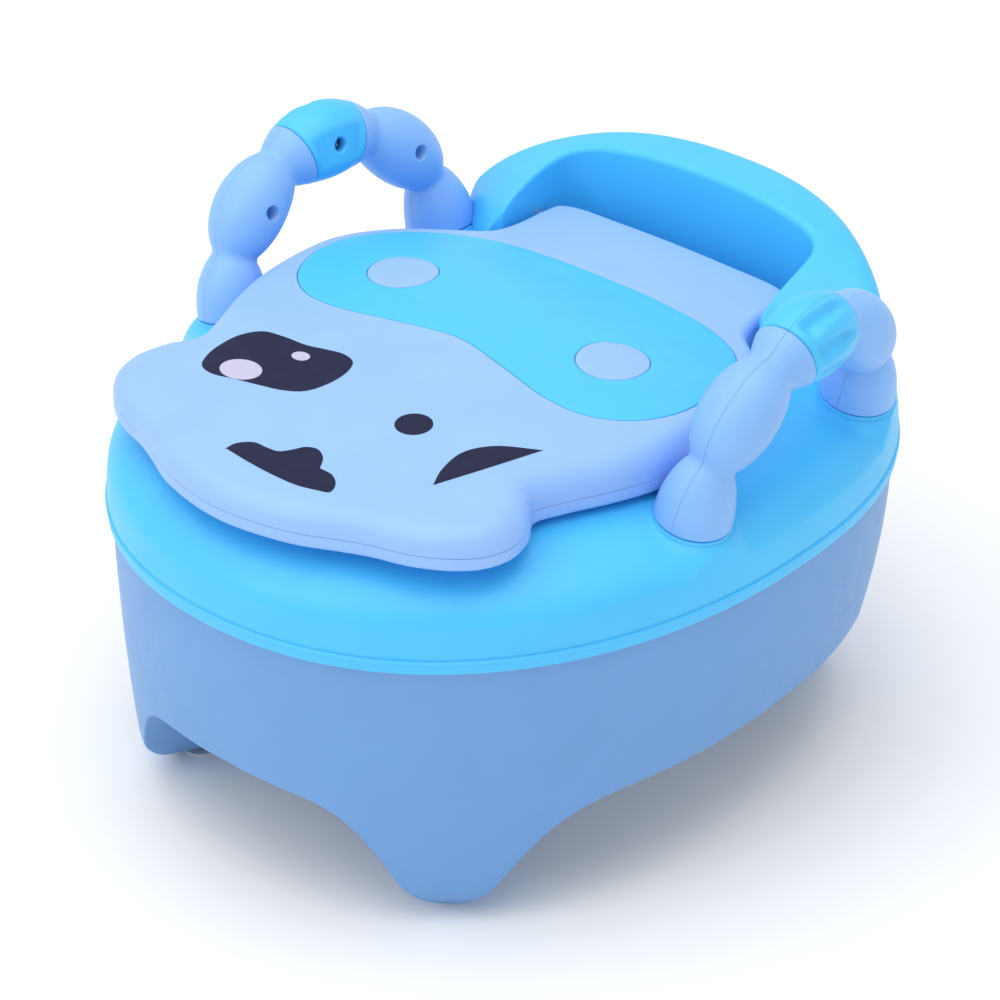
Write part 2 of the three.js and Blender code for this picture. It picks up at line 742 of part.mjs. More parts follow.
// A block inside the flap that gives the pin its bore.
function hingeLug(side) {
  const lug = new THREE.BoxGeometry(16, 10, 9.4);
  lug.translate(side * 51.5, HINGE.y, HINGE.z + 1.2);
  return lug;
}

// ---- Assembly -----------------------------------------------------------------------------

function finish(color, roughness) {
  return new THREE.MeshStandardMaterial({ color, roughness, metalness: 0 });
}

const chair = new THREE.Group();
chair.name = "potty_training_chair";

function add(name, geometry, material) {
  const mesh = new THREE.Mesh(geometry, material);
  mesh.name = name;
  chair.add(mesh);
}

const frames = [handleFrame(1), handleFrame(-1)];
const lidOutline = mirrored(LID_OUTLINE, 80);

add("base_shell", baseShell(), finish(PALE_BLUE, 0.42));
Object.entries(FEET).forEach(([place, turn]) => {
  add("foot_pad_" + place + "_right", footPad(turn), finish(0xd9dde2, 0.85));
  add("foot_pad_" + place + "_left", footPad(-turn), finish(0xd9dde2, 0.85));
});
add("inner_pot", innerPot(), finish(POT_BLUE, 0.35));
add("seat_top", seatTop(frames), finish(CYAN, 0.38));
add("lid_lower_shell", lidLower(lidOutline), finish(PALE_BLUE, 0.42));
add("lid_upper_shell", lidUpper(lidOutline), finish(PALE_BLUE, 0.42));
add("muzzle_inlay", muzzleInlay(), finish(CYAN, 0.4));

["right", "left"].forEach((place, i) => {
  const side = i === 0 ? 1 : -1;
  const frame = frames[i];
  const holes = SCREW_TURNS.map((turn) => screwHole(frame, turn));
  const turns = handleTurns();
  const beads = (turn) => [beadRadius(turn), 0];
  const inner = handleHalf(frame, 1, turns, beads);
  const outer = handleHalf(frame, -1, turns, beads);
  const gripInner = handleHalf(frame, 1, gripTurns(), gripOutline);
  const gripOuter = handleHalf(frame, -1, gripTurns(), gripOutline);
  add("nostril_button_" + place, nostrilButton(side), finish(PALE_BLUE, 0.42));
  add("hinge_pin_" + place, hingeBar(side), finish(0xc9ccd0, 0.3));
  add("handle_inner_half_" + place, cut(inner, ...holes), finish(PALE_BLUE, 0.4));
  add("handle_outer_half_" + place, cut(outer, ...holes), finish(PALE_BLUE, 0.4));
  add("grip_inner_half_" + place, cut(gripInner, holes[1]), finish(CYAN, 0.35));
  add("grip_outer_half_" + place, gripOuter, finish(CYAN, 0.35));
  SCREW_TURNS.forEach((turn, k) => {
    const name = ["front", "grip", "rear"][k];
    add("screw_" + name + "_" + place, screw(frame, turn), finish(0xb9bcc0, 0.3));
  });
});

export default chair;
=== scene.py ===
import math

import bmesh
import bpy
import numpy as np
from mathutils import Matrix, Vector
from mathutils.geometry import delaunay_2d_cdt


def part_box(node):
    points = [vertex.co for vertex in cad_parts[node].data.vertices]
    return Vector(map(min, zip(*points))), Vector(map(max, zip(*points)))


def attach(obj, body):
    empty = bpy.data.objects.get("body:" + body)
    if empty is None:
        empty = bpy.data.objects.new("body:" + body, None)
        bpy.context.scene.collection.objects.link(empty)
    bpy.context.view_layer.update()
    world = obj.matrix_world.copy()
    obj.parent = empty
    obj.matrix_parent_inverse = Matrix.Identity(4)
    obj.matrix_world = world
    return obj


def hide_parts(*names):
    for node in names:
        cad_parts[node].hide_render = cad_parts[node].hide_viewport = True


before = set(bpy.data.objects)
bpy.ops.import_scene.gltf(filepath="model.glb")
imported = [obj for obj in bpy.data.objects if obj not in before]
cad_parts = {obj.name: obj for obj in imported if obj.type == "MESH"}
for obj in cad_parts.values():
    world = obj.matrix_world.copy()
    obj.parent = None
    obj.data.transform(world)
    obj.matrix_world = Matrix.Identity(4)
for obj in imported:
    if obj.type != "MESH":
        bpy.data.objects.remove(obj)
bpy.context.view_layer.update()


def box_mm(node):
    low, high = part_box(node)
    return low * 1000, high * 1000


SEAT_LOW, SEAT_HIGH = box_mm("seat_top")
BASE_LOW, BASE_HIGH = box_mm("base_shell")
POT_LOW, POT_HIGH = box_mm("inner_pot")

# Plan of the chair: eggs about its widest line, each a half width, a front and a rear length
# and the two lengths' powers.
WIDEST_Y = 10
RIM = (SEAT_HIGH.x, WIDEST_Y - SEAT_LOW.y, SEAT_HIGH.y - WIDEST_Y, 2.15, 2.37)
OPENING = (70, 103, 60, 2, 2)
WALL = 3
GAP = 0.3

# Meshes: how finely outlines and patches are drawn
ROUND_STEPS = {"base": 600, "pot": 240}
OUTLINE_STEPS = {"lid": 420, "muzzle": 260, "eye": 220, "tuft": 200, "wink": 140, "disc": 96}
ROW_SPACING = 0.866
EDGE_CLEARANCE = 0.62

# Base. An arch is its turn from the front and half turn in degrees, its height and two powers;
# a bulge is its turn and width in degrees and its size.
BASE_TOP = BASE_HIGH.z
SOLE_Z = BASE_LOW.z
ARCHES = [(0, 32.8, 52, 5.6, 3.95), (89, 59, 51.4, 8.3, 3.85), (180, 26, 49, 5.6, 3.95)]
TAPER, TAPER_POWER = 24, 1.95
RIM_INSET = 2.3
BULGES = [(38, 40, 18), (150, 21, 6.5)]
FEET = {"front": 31.5, "rear": 151}
TURN_IN, TURN_IN_HEIGHT = 13.4, 20.7
SOLE_WIDTH = 30
LEG_LOW, LEG_HIGH = 10, 56
LEG_SOLID, LEG_TOP = 16, 58
LEDGE_TOP = 112
LEDGE_WIDTH = 10
EDGE_ROUND = (1.1, 1.2)
HEEL_ROUND = (0.6, 5)
BASE_TOP_ROUND = 0.4
WALL_STEPS, LINER_STEPS = 44, 18
PAD_HALF_SIZE = (7, 6)
PAD_FLAT, PAD_DISH, PAD_ROUND = 3, 0.25, (0.5, 0.4)

# Seat top
LIP_BOTTOM = SEAT_LOW.z
LIP_TOP = LIP_BOTTOM + 5.5
DECK_EDGE_Z = 136
BACK_TOP = SEAT_HIGH.z - 1.5
BACK_HALF_TURN = 50.5
BACK_LEAN = (6, 13)
LEAN_HEIGHT, LEAN_POWER = 61, 1.6
RISE_POWER, RISE_ROUND = 3, 0.6
SHOULDER_ROUND = 9
OPENING_ROUND = (9, 8)
SKIRT_BOTTOM = 122
POCKET_HALF_WIDTH = 67
POCKET_BACK_Y = 120
POCKET_BOW = 7
POCKET_CORNER = 14
POCKET_FLOOR_ROUND = 4
CHEEK_START, CHEEK_RADIUS, CHEEK_SPREAD = 40, (97, 47), 0.38
HINGE_TROUGH = 12
LIP_BEAD = 0.9
LIP_GROOVE = (0.45, 1.2)
LIP_WALL_INSET = 0.4
FLARE_REACH = 40
FLARE_RAMP = (14.5, 29)
FLARE_HEIGHT, FLARE_SUNK, FLARE_BLEND = 17, 1.6, 2.4
BOSS_DEPTH = 9

# Pot
POT_MOUTH = (88, 120, 92, 2.1, 2.2)
POT_FLANGE = 3
POT_MOUTH_ROUND = (2, 3)
POT_HEEL_SHARE = 0.8
POT_BOWL_TOP, POT_BOWL_REACH = (5, 20), 19

# Lid; the outlines are halves, mirrored about x = 0
LID_BOTTOM = 157.2
LID_TILT = -0.0215
LID_ROUND = 9
FLAP_ROUND = 4
FLAP_ROUND_RAMP = (15, 72)
CROWN_TOP, CROWN_Y = 182.3, 5
CROWN_BEND = {"front": 3e-4, "side": 4.5e-4}
FLAP_DROP, FLAP_DROP_END = 10, 75
LID_LIFT = 0.6
LID_SEAM = 5.7
SEAM_GAP = 0.06
SEAM_CHAMFER = 0.25
LID_FLOOR = (0.9, 3.4)
LID_BOTTOM_ROUND = 2
LID_OUTLINE = [
    (0, -154), (31, -148.5), (49, -140), (59, -135.5), (73, -131), (86, -123.5),
    (94.5, -114), (97.5, -102), (94, -89), (87, -78), (90.5, -66), (99, -46),
    (104.5, -28), (107, -4), (104.5, 22), (94, 46), (79, 61), (67, 71), (63.8, 80),
    (62.6, 98), (61, 106), (54, 109.5), (28, 110),
]
MUZZLE_OUTLINE = [
    (0, -22.5), (26, -27.5), (54, -33.5), (72, -32), (87, -22), (95.5, -5), (95.5, 14),
    (89, 35), (76, 52), (56, 61.5), (30, 65), (0, 65.5),
]
NOSTRIL = (54.2, 4.7, 14.5)
INLAY_DEPTH = 1.6
MUZZLE_PLATE = {"lift": 0.1, "edge": 0.35}
NOSTRIL_PLATE = {"lift": 0.15, "edge": 0.4}

# Printed face, as outlines on the lid; the tips are the corners of an outline. A spot is x, y and
# its radius; a glint is x, y and its half sizes.
EYE = [
    (-64.4, -97), (-68.6, -89.6), (-70, -81.2), (-69, -71.6), (-63.7, -64.7), (-54.4, -63.1),
    (-41.9, -62.8), (-34.1, -60.9), (-25.6, -59.3), (-18.7, -61.6), (-15.2, -69.2),
    (-15.4, -80.4), (-18.8, -88.3), (-25.6, -92.5), (-35.3, -95), (-46, -97.1), (-57, -99.3),
]
TUFT = [
    (-14.7, -133.7), (-14, -129.1), (-9.1, -124.7), (-2.6, -124.3), (2.5, -123.4), (6, -119.1),
    (8.3, -115.4), (12.7, -113.7), (18.2, -116.4), (22, -122), (28.4, -122.3), (33.6, -126),
    (35.1, -130.6), (30.6, -132.6), (22.8, -134.9), (11.8, -135.6), (-0.3, -135.2),
]
TUFT_TIPS = (0, 9)
WINK = [(60.6, -103.5), (56.4, -94), (54.9, -81), (60.6, -70.5), (75.7, -60.1), (68.6, -81.5)]
WINK_TIPS = (0, 4)
SPOT = (29, -79.3, 7.2)
GLINT_LARGE = (-49.6, -90.8, 9.2, 6.8)
GLINT_SMALL = (-37.8, -70.3, 4, 3)
PRINT_LEVEL, GLINT_LEVEL, PRINT_SUNK = 0.05, 0.09, 0.03

# Handles: beads along half an ellipse, given by its middle, half axes, lean and yaw in degrees.
# Turns run along the arch, and flutes lie round the grip, in degrees.
HANDLE = {"x": 114.3, "y": 30.4, "z": 152, "reach": 56.8, "height": 55, "lean": 11.5, "yaw": 5}
BEAD = 15
NECK = 8.6
COLLAR, COLLAR_POWER = (9.4, 14), 0.8
NECK_SOFTNESS, NECK_SOFTENING = 1.5, 3
END_ROUND = 0.7
FOOT_END = 24.2
BEAD_END = 65.8
GRIP_HALF_TURN = 14.3
GRIP_START = 90 - GRIP_HALF_TURN
GRIP = (16, 13.7)
GRIP_CORE = 8
GRIP_FLAT, GRIP_FLAT_RAMP = 0.87, (0.72, 0.92)
GRIP_END_GAP = 0.12
PARTING, PARTING_CHAMFER = 0.05, 0.14
CORE_STEPS = 15
SCREW_TURNS = {"front": 45, "grip": 90, "rear": 135}
SCREW_HEAD, SCREW_HEAD_HEIGHT = 3, 2.4
SCREW_SHANK, SCREW_LENGTH, SCREW_TIP = 1.5, 13, 2
CROSS_DEPTH = 1.1
WELL_RADIUS, WELL_LENGTH = 3.2, 30
WELL_DEPTH = {"front": 6.5, "grip": 4.5, "rear": 6.5}
FLUTES = (20, 64, 108)
FLUTE_DEPTH, FLUTE_WIDTH, FLUTE_SPAN = 2.6, (17, 8), 0.72
FLUTE_START, FLUTE_FADE = (-0.86, -0.66), (0.25, 0.9)
PIN_CHAMFER = 0.4

# Camera
AZIMUTH, ELEVATION, DISTANCE = 41.54, 31.44, 1481
LENS, SENSOR = 133.05, 36
TARGET = (-4.3, 6.2, 94.4)

# Room, in metres
FLOOR_REACH = 6
LAMP_AIM = (0, 0, 0.1)
SKY_STRENGTH = 0.76

# Materials: noise scales and details, and how worn edges show
MOTTLE = (38, 3)
GLOSS = (90, 4)
GLOSS_SPREAD = 0.05
GRAIN_DETAIL, GRAIN_DEPTH = 2, 0.00004
WORN_BAND = (0.52, 0.6)
WORN_COLOUR = (0.9, 0.95, 1, 1)
SUBSURFACE_RADIUS, SUBSURFACE_SCALE = (0.6, 0.8, 1), 0.004


# ---- Numbers ------------------------------------------------------------------------------

def lerp(a, b, t):
    return a + (b - a) * t


def ramp(value, low, high):
    t = np.clip((value - low) / (high - low), 0, 1)
    return t * t * (3 - 2 * t)


def egg(angle, shape, inset=0.0):
    """Distance from the middle of the chair to an egg's outline in a plan direction."""
    half_width, front, rear, front_power, rear_power = shape
    x, y = abs(math.cos(angle)), abs(math.sin(angle))
    behind = math.sin(angle) > 0
    power = rear_power if behind else front_power
    length = (rear if behind else front) - inset
    return ((x / (half_width - inset)) ** power + (y / length) ** power) ** (-1 / power)


def turn_from_rear(angle):
    return math.degrees(math.acos(max(-1.0, min(1.0, math.sin(angle)))))


def quarter(r0, z0, r1, z1, steps, level=False):
    """Quarter of an ellipse between two [radius, z] points, leaving upright or level."""
    points = []
    for i in range(steps + 1):
        turn = i / steps * math.pi / 2
        u = math.sin(turn) if level else 1 - math.cos(turn)
        v = 1 - math.cos(turn) if level else math.sin(turn)
        points.append((lerp(r0, r1, u), lerp(z0, z1, v)))
    return points


def offset_line(line, distance):
    """A [radius, z] line moved sideways by a wall's thickness."""
    points = []
    for i, (radius, z) in enumerate(line):
        r0, z0 = line[max(i - 1, 0)]
        r1, z1 = line[min(i + 1, len(line) - 1)]
        length = math.hypot(r1 - r0, z1 - z0) or 1
        points.append((radius + distance * (z0 - z1) / length, z + distance * (r1 - r0) / length))
    return points


# ---- Meshes -------------------------------------------------------------------------------

class Shape:
    """Vertices and faces in millimetres, put together ring by ring."""

    def __init__(self):
        self.points = []
        self.faces = []

    def ring(self, points):
        start = len(self.points)
        self.points.extend(tuple(map(float, p)) for p in points)
        return list(range(start, len(self.points)))

    def strip(self, a, b, closed=True):
        count = len(a) if closed else len(a) - 1
        for i in range(count):
            k = (i + 1) % len(a)
            self.faces.append((a[i], a[k], b[k], b[i]))

    def strips(self, rings, closed=True):
        for a, b in zip(rings, rings[1:]):
            self.strip(a, b, closed)

    def patch(self, loops, height, spacing=3.2):
        """Fills the first loop, less the loops inside it, with triangles laid on height(x, y)."""
        known = [index for loop in loops for index in loop]
        flat = np.array([self.points[i][:2] for i in known])
        outlines = [np.array([self.points[i][:2] for i in loop]) for loop in loops]
        inner = scatter(outlines, spacing)
        edges = []
        start = 0
        for loop in loops:
            n = len(loop)
            edges.extend((start + i, start + (i + 1) % n) for i in range(n))
            start += n
        made, _, triangles, origin, _, _ = delaunay_2d_cdt(
            [Vector(p) for p in np.vstack([flat, inner])], edges, [], 0, 1e-6, True
        )
        index = []
        for p, sources in zip(made, origin):
            if sources and sources[0] < len(known):
                index.append(known[sources[0]])
            else:
                index.append(len(self.points))
                self.points.append((p.x, p.y, float(height(p.x, p.y))))
        where = np.array([[*p] for p in made])
        middles = where[np.array(triangles)].mean(axis=1)
        keep = inside(middles, outlines)
        for triangle, wanted in zip(triangles, keep):
            corners = [index[i] for i in triangle]
            if wanted and len(set(corners)) == 3:
                self.faces.append(tuple(corners))

    def add(self, other):
        start = len(self.points)
        self.points.extend(other.points)
        self.faces.extend(tuple(start + i for i in face) for face in other.faces)


def inside(points, outlines):
    """Whether each point is inside an odd number of the outlines."""
    result = np.zeros(len(points), bool)
    x, y = points[:, 0], points[:, 1]
    for outline in outlines:
        after = np.roll(outline, -1, axis=0)
        for (x0, y0), (x1, y1) in zip(outline, after):
            if y0 != y1:
                crosses = (y0 > y) != (y1 > y)
                result ^= crosses & (x < (x1 - x0) * (y - y0) / (y1 - y0) + x0)
    return result


def scatter(outlines, spacing):
    """Points of a triangular grid that lie inside the outlines and clear of their edges."""
    low, high = outlines[0].min(axis=0), outlines[0].max(axis=0)
    rows = np.arange(low[1], high[1], spacing * ROW_SPACING)
    points = []
    for i, y in enumerate(rows):
        xs = np.arange(low[0] + (i % 2) * spacing / 2, high[0], spacing)
        points.append(np.stack([xs, np.full_like(xs, y)], axis=1))
    points = np.vstack(points)
    points = points[inside(points, outlines)]
    edge = np.vstack(outlines)
    clear = np.ones(len(points), bool)
    for p in edge:
        clear &= ((points - p) ** 2).sum(axis=1) > (EDGE_CLEARANCE * spacing) ** 2
    return points[clear]


def build(name, shape, material, body, nodes=(), sharp=38):
    """The object for a shape, smoothed, riding on its body and standing for its CAD nodes."""
    mesh = bpy.data.meshes.new(name)
    mesh.from_pydata((np.array(shape.points) / 1000).tolist(), [], shape.faces)
    work = bmesh.new()
    work.from_mesh(mesh)
    bmesh.ops.remove_doubles(work, verts=work.verts, dist=2e-6)
    bmesh.ops.dissolve_degenerate(work, edges=work.edges, dist=1e-7)
    bmesh.ops.recalc_face_normals(work, faces=work.faces)
    work.to_mesh(mesh)
    work.free()
    mesh.shade_smooth()
    mesh.set_sharp_from_angle(angle=math.radians(sharp))
    mesh.materials.append(material)
    piece = bpy.data.objects.new(name, mesh)
    bpy.context.scene.collection.objects.link(piece)
    if body:
        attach(piece, body)
    if nodes:
        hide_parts(*nodes)
    return piece


def carve(piece, cutter_shape):
    """Cuts a shape out of a piece and keeps the result as the piece's mesh."""
    cutter = build(piece.name + "_tool", cutter_shape, piece.data.materials[0], None)
    modifier = piece.modifiers.new("cut", "BOOLEAN")
    modifier.operation = "DIFFERENCE"
    modifier.solver = "EXACT"
    modifier.object = cutter
    bpy.context.view_layer.update()
    evaluated = piece.evaluated_get(bpy.context.evaluated_depsgraph_get())
    result = bpy.data.meshes.new_from_object(evaluated)
    piece.modifiers.clear()
    piece.data = result
    bpy.data.objects.remove(cutter)


def revolve(profile, start, direction, segments):
    """Turns a [radius, distance] profile about a line, with a closed end wherever radius is 0."""
    shape = Shape()
    axis = Vector(direction).normalized()
    side = axis.orthogonal().normalized()
    other = axis.cross(side)
    rings = []
    for radius, distance in profile:
        middle = Vector(start) + axis * distance
        turns = [2 * math.pi * i / segments for i in range(segments)]
        points = [middle + (side * math.cos(t) + other * math.sin(t)) * radius for t in turns]
        rings.append(shape.ring(points))
    shape.strips(rings)
    return shape


def swept(profile_at, angles, closed):
    """Carries a [radius, z] profile, a loop if closed, round the middle of the chair."""
    shape = Shape()
    rings = []
    for angle in angles:
        profile = profile_at(angle)
        rings.append(shape.ring(
            (r * math.cos(angle), WIDEST_Y + r * math.sin(angle), z) for r, z in profile
        ))
    for a, b in zip(rings, rings[1:] + rings[:1]):
        shape.strip(a, b, closed)
    return shape


def round_angles(steps):
    return [2 * math.pi * i / steps for i in range(steps)]


# ---- Outlines -----------------------------------------------------------------------------

def spline(points, closed, per_span=16):
    """A centripetal Catmull-Rom curve through plan points."""
    points = [np.array(p, float) for p in points]
    n = len(points)
    spans = n if closed else n - 1
    curve = []
    for i in range(spans):
        if closed:
            p0, p1, p2, p3 = (points[(i + k) % n] for k in (-1, 0, 1, 2))
        else:
            p1, p2 = points[i], points[i + 1]
            p0 = points[i - 1] if i else 2 * p1 - p2
            p3 = points[i + 2] if i + 2 < n else 2 * p2 - p1
        d0, d1, d2 = (math.sqrt(np.linalg.norm(b - a)) for a, b in ((p0, p1), (p1, p2), (p2, p3)))
        leave = ((p1 - p0) / d0 - (p2 - p0) / (d0 + d1) + (p2 - p1) / d1) * d1
        arrive = ((p2 - p1) / d1 - (p3 - p1) / (d1 + d2) + (p3 - p2) / d2) * d1
        for k in range(per_span):
            t = k / per_span
            curve.append(
                p1 + leave * t + (3 * (p2 - p1) - 2 * leave - arrive) * t * t
                + (2 * (p1 - p2) + leave + arrive) * t ** 3
            )
    if not closed:
        curve.append(points[-1])
    return np.array(curve)


def spaced(curve, count):
    """A closed curve as that many evenly spaced points."""
    loop = np.vstack([curve, curve[:1]])
    lengths = np.concatenate([[0], np.cumsum(np.linalg.norm(np.diff(loop, axis=0), axis=1))])
    where = np.linspace(0, lengths[-1], count, endpoint=False)
    return np.stack([np.interp(where, lengths, loop[:, k]) for k in (0, 1)], axis=1)


def mirrored(half, count):
    other = [(-x, y) for x, y in reversed(half) if x > 0]
    return spaced(spline(list(half) + other, True), count)


def with_tips(points, tips, count):
    """A closed outline that is smooth except at its tips."""
    n = len(points)
    parts = []
    for a, b in zip(tips, tips[1:] + tips[:1]):
        run = [points[i % n] for i in range(a, b + 1 if b > a else b + n + 1)]
        parts.append(spline(run, False)[:-1])
    return spaced(np.vstack(parts), count)


def ellipse(x, y, half_width, half_length, count=72):
    turns = np.linspace(0, 2 * math.pi, count, endpoint=False)
    return np.stack([x + half_width * np.cos(turns), y + half_length * np.sin(turns)], axis=1)


def inward(outline, distance):
    """The outline moved inward, square to itself, by a distance or one distance per point."""
    tangent = np.roll(outline, -1, axis=0) - np.roll(outline, 1, axis=0)
    tangent /= np.linalg.norm(tangent, axis=1)[:, None]
    normal = np.stack([-tangent[:, 1], tangent[:, 0]], axis=1)
    return outline + normal * np.reshape(distance, (-1, 1))


def on(outline, height):
    return np.column_stack([outline, height])


# ---- Base ---------------------------------------------------------------------------------

def base_inset(angle, z):
    drop = min(max(1 - z / LIP_BOTTOM, 0), 1)
    turn = 180 - turn_from_rear(angle)
    bulge = sum(size * math.exp(-((turn - middle) / width) ** 2) for middle, width, size in BULGES)
    turn_in = TURN_IN * min(max(1 - z / TURN_IN_HEIGHT, 0), 1) ** 2
    return RIM_INSET + (TAPER - bulge) * drop ** TAPER_POWER + turn_in


def base_edge(angle):
    turn = 180 - turn_from_rear(angle)
    heights = []
    for middle, half_turn, height, power, shoulder in ARCHES:
        share = min(abs(turn - middle) / half_turn, 1)
        heights.append(height * (1 - share ** power) ** shoulder)
    return SOLE_Z + max(heights)


def base_profile(angle):
    """The wall, filled out into a closed leg above each foot."""
    edge = base_edge(angle)
    leg = 1 - float(ramp(edge - SOLE_Z, LEG_LOW, LEG_HIGH))

    def radius_at(z):
        return egg(angle, RIM, base_inset(angle, z))

    lowest = edge + EDGE_ROUND[1]
    shares = [(1 - i / WALL_STEPS) ** 1.5 for i in range(WALL_STEPS + 1)]
    outside = [(radius_at(z), z) for z in (lerp(lowest, BASE_TOP, share) for share in shares)]
    foot = radius_at(lowest) - EDGE_ROUND[0]
    heel = foot - lerp(WALL - HEEL_ROUND[0], SOLE_WIDTH, leg)
    heel_round = lerp(*HEEL_ROUND, leg)
    ledge_bottom = LEDGE_TOP - WALL
    ledge_edge = radius_at(LEDGE_TOP) - WALL
    rim_inside = radius_at(BASE_TOP) - WALL
    liner = []
    for i in range(LINER_STEPS + 1):
        z = lerp(edge + heel_round + 1, ledge_bottom - 1, i / LINER_STEPS)
        filled = leg * float(1 - ramp(z - edge, LEG_SOLID, LEG_TOP))
        liner.append((lerp(radius_at(z) - WALL, heel, filled), z))
    return [
        *outside,
        *quarter(outside[-1][0], lowest, foot, edge, 5)[1:],
        *quarter(heel + heel_round, edge, heel, edge + heel_round, 7, True),
        *liner,
        (ledge_edge, ledge_bottom),
        (ledge_edge - LEDGE_WIDTH, ledge_bottom),
        (ledge_edge - LEDGE_WIDTH, LEDGE_TOP),
        (ledge_edge, LEDGE_TOP),
        (rim_inside, BASE_TOP - BASE_TOP_ROUND),
        (rim_inside + BASE_TOP_ROUND, BASE_TOP),
        (radius_at(BASE_TOP) - BASE_TOP_ROUND, BASE_TOP),
    ]


def make_base(material):
    shape = swept(base_profile, round_angles(ROUND_STEPS["base"]), True)
    # The base's material is the lid's blue darkened as painted shade.
    build("base_shell_look", shape, material, "base", ["base_shell"])


def foot_pad(middle, top, angle):
    """An oval pad turned to a plan angle: slightly dished below, with a rounded lower edge."""
    half_length, half_width = PAD_HALF_SIZE
    profile = [
        (half_length, PAD_DISH), (PAD_FLAT, 0), (PAD_ROUND[0], 0), (0, PAD_ROUND[1]), (0, top),
        (half_length, top),
    ]
    c, s = math.cos(angle), math.sin(angle)
    shape = Shape()
    rings = []
    for inset, z in profile:
        sizes = [max(size - inset, 0.01) for size in (half_length, half_width)]
        rings.append(shape.ring(
            (middle.x + x * c - y * s, middle.y + x * s + y * c, z)
            for x, y in ellipse(0, 0, *sizes, 40)
        ))
    shape.strips(rings)
    return shape


def make_foot_pads(material):
    for place, turn in FEET.items():
        for side, word in ((1, "right"), (-1, "left")):
            node = f"foot_pad_{place}_{word}"
            low, high = box_mm(node)
            shape = foot_pad((low + high) / 2, high.z, math.radians(side * turn - 90))
            build(node + "_look", shape, material, "base", [node])


# ---- Pot ----------------------------------------------------------------------------------

def pot_profile(angle):
    mouth = egg(angle, POT_MOUTH)
    edge = egg(angle, RIM, base_inset(angle, LEDGE_TOP)) - WALL - 1
    top = POT_HIGH.z
    bottom = POT_LOW.z
    round_width, round_height = POT_MOUTH_ROUND
    heel = mouth * POT_HEEL_SHARE
    bowl_radius, bowl_z = heel + POT_BOWL_TOP[0], bottom + POT_BOWL_TOP[1]
    wall = [
        (lerp(mouth - round_width, bowl_radius, t), lerp(top - round_height, bowl_z, t))
        for t in np.linspace(0, 1, 16)
    ]
    bowl = quarter(bowl_radius, bowl_z, heel - POT_BOWL_REACH, bottom + WALL, 12)
    outside = offset_line(wall[1:] + bowl[1:], WALL)
    return [
        (0.01, bottom + WALL),
        *reversed(bowl[1:]),
        *reversed(wall),
        *quarter(mouth - round_width, top - round_height, mouth + round_width, top, 5)[1:],
        (edge - 1, top),
        (edge - 0.3, top - 0.3),
        (edge, top - 1),
        (edge, top - POT_FLANGE),
        (mouth + 4, top - POT_FLANGE),
        *outside,
        (0.01, bottom),
    ]


def make_pot(material):
    shape = swept(pot_profile, round_angles(ROUND_STEPS["pot"]), False)
    build("inner_pot_look", shape, material, "pot", ["inner_pot"])


# ---- Handles ------------------------------------------------------------------------------

class Arch:
    """The frame of one handle: side is 1 for +X. Turns run from the front foot over the top."""

    def __init__(self, side):
        yaw = Matrix.Rotation(math.radians(HANDLE["yaw"]) * side, 3, "Z")
        self.along = yaw @ Vector((0, 1, 0))
        lean = Matrix.Rotation(math.radians(HANDLE["lean"]) * side, 3, self.along)
        self.rise = lean @ Vector((0, 0, 1))
        self.inward = self.along.cross(self.rise) * -side
        self.middle = Vector((HANDLE["x"] * side, HANDLE["y"], HANDLE["z"]))

    def at(self, turn):
        t = math.radians(turn)
        along = -math.cos(t) * HANDLE["reach"]
        return self.middle + self.along * along + self.rise * math.sin(t) * HANDLE["height"]

    def out(self, turn):
        t = math.radians(turn)
        across = -math.cos(t) * HANDLE["height"]
        return (self.along * across + self.rise * math.sin(t) * HANDLE["reach"]).normalized()


ARCH_FRAMES = {"right": Arch(1), "left": Arch(-1)}


def ellipsoid(share, neck):
    return BEAD * math.sqrt(1 - (1 - (neck / BEAD) ** 2) * share ** 2)


def raw_bead_radius(turn):
    t = min(turn, 180 - turn)
    if t < FOOT_END:
        return ellipsoid(t / FOOT_END, NECK)
    if t < BEAD_END:
        share = (2 * t - FOOT_END - BEAD_END) / (BEAD_END - FOOT_END)
        return ellipsoid(share, NECK if share < 0 else COLLAR[0])
    share = min((t - BEAD_END) / (GRIP_START - BEAD_END), 1)
    return lerp(*COLLAR, share ** COLLAR_POWER)


def bead_radius(turn):
    """The beads with their necks softened, stepping down to the core inside the grip."""
    t = min(turn, 180 - turn)
    if t >= GRIP_START:
        return GRIP_CORE
    soften = NECK_SOFTNESS * min(1, t / NECK_SOFTENING, (GRIP_START - t) / NECK_SOFTENING)
    samples = [raw_bead_radius(min(t + k * soften, GRIP_START)) for k in (-1, -0.5, 0, 0.5, 1)]
    return sum(samples) / len(samples) - end_rounding(min(t, GRIP_START - GAP / 2 - t))


def end_rounding(edge):
    """How much a tube's radius drops near its end, by the turn left to that end."""
    return END_ROUND * max(1 - edge / END_ROUND, 0) ** 2


def bead_turns():
    """Turns from foot to foot, closer together beside the feet and the grip."""
    last = GRIP_START - GAP / 2
    climb = [0, 0.2, 0.45, 0.8, *np.arange(1.3, 74, 0.55), 74.3, 74.8, 75.1, 75.35]
    climb = [t for t in climb if t < last] + [last, GRIP_START, 80, 85]
    return [*climb, 90, *(180 - t for t in reversed(climb))]


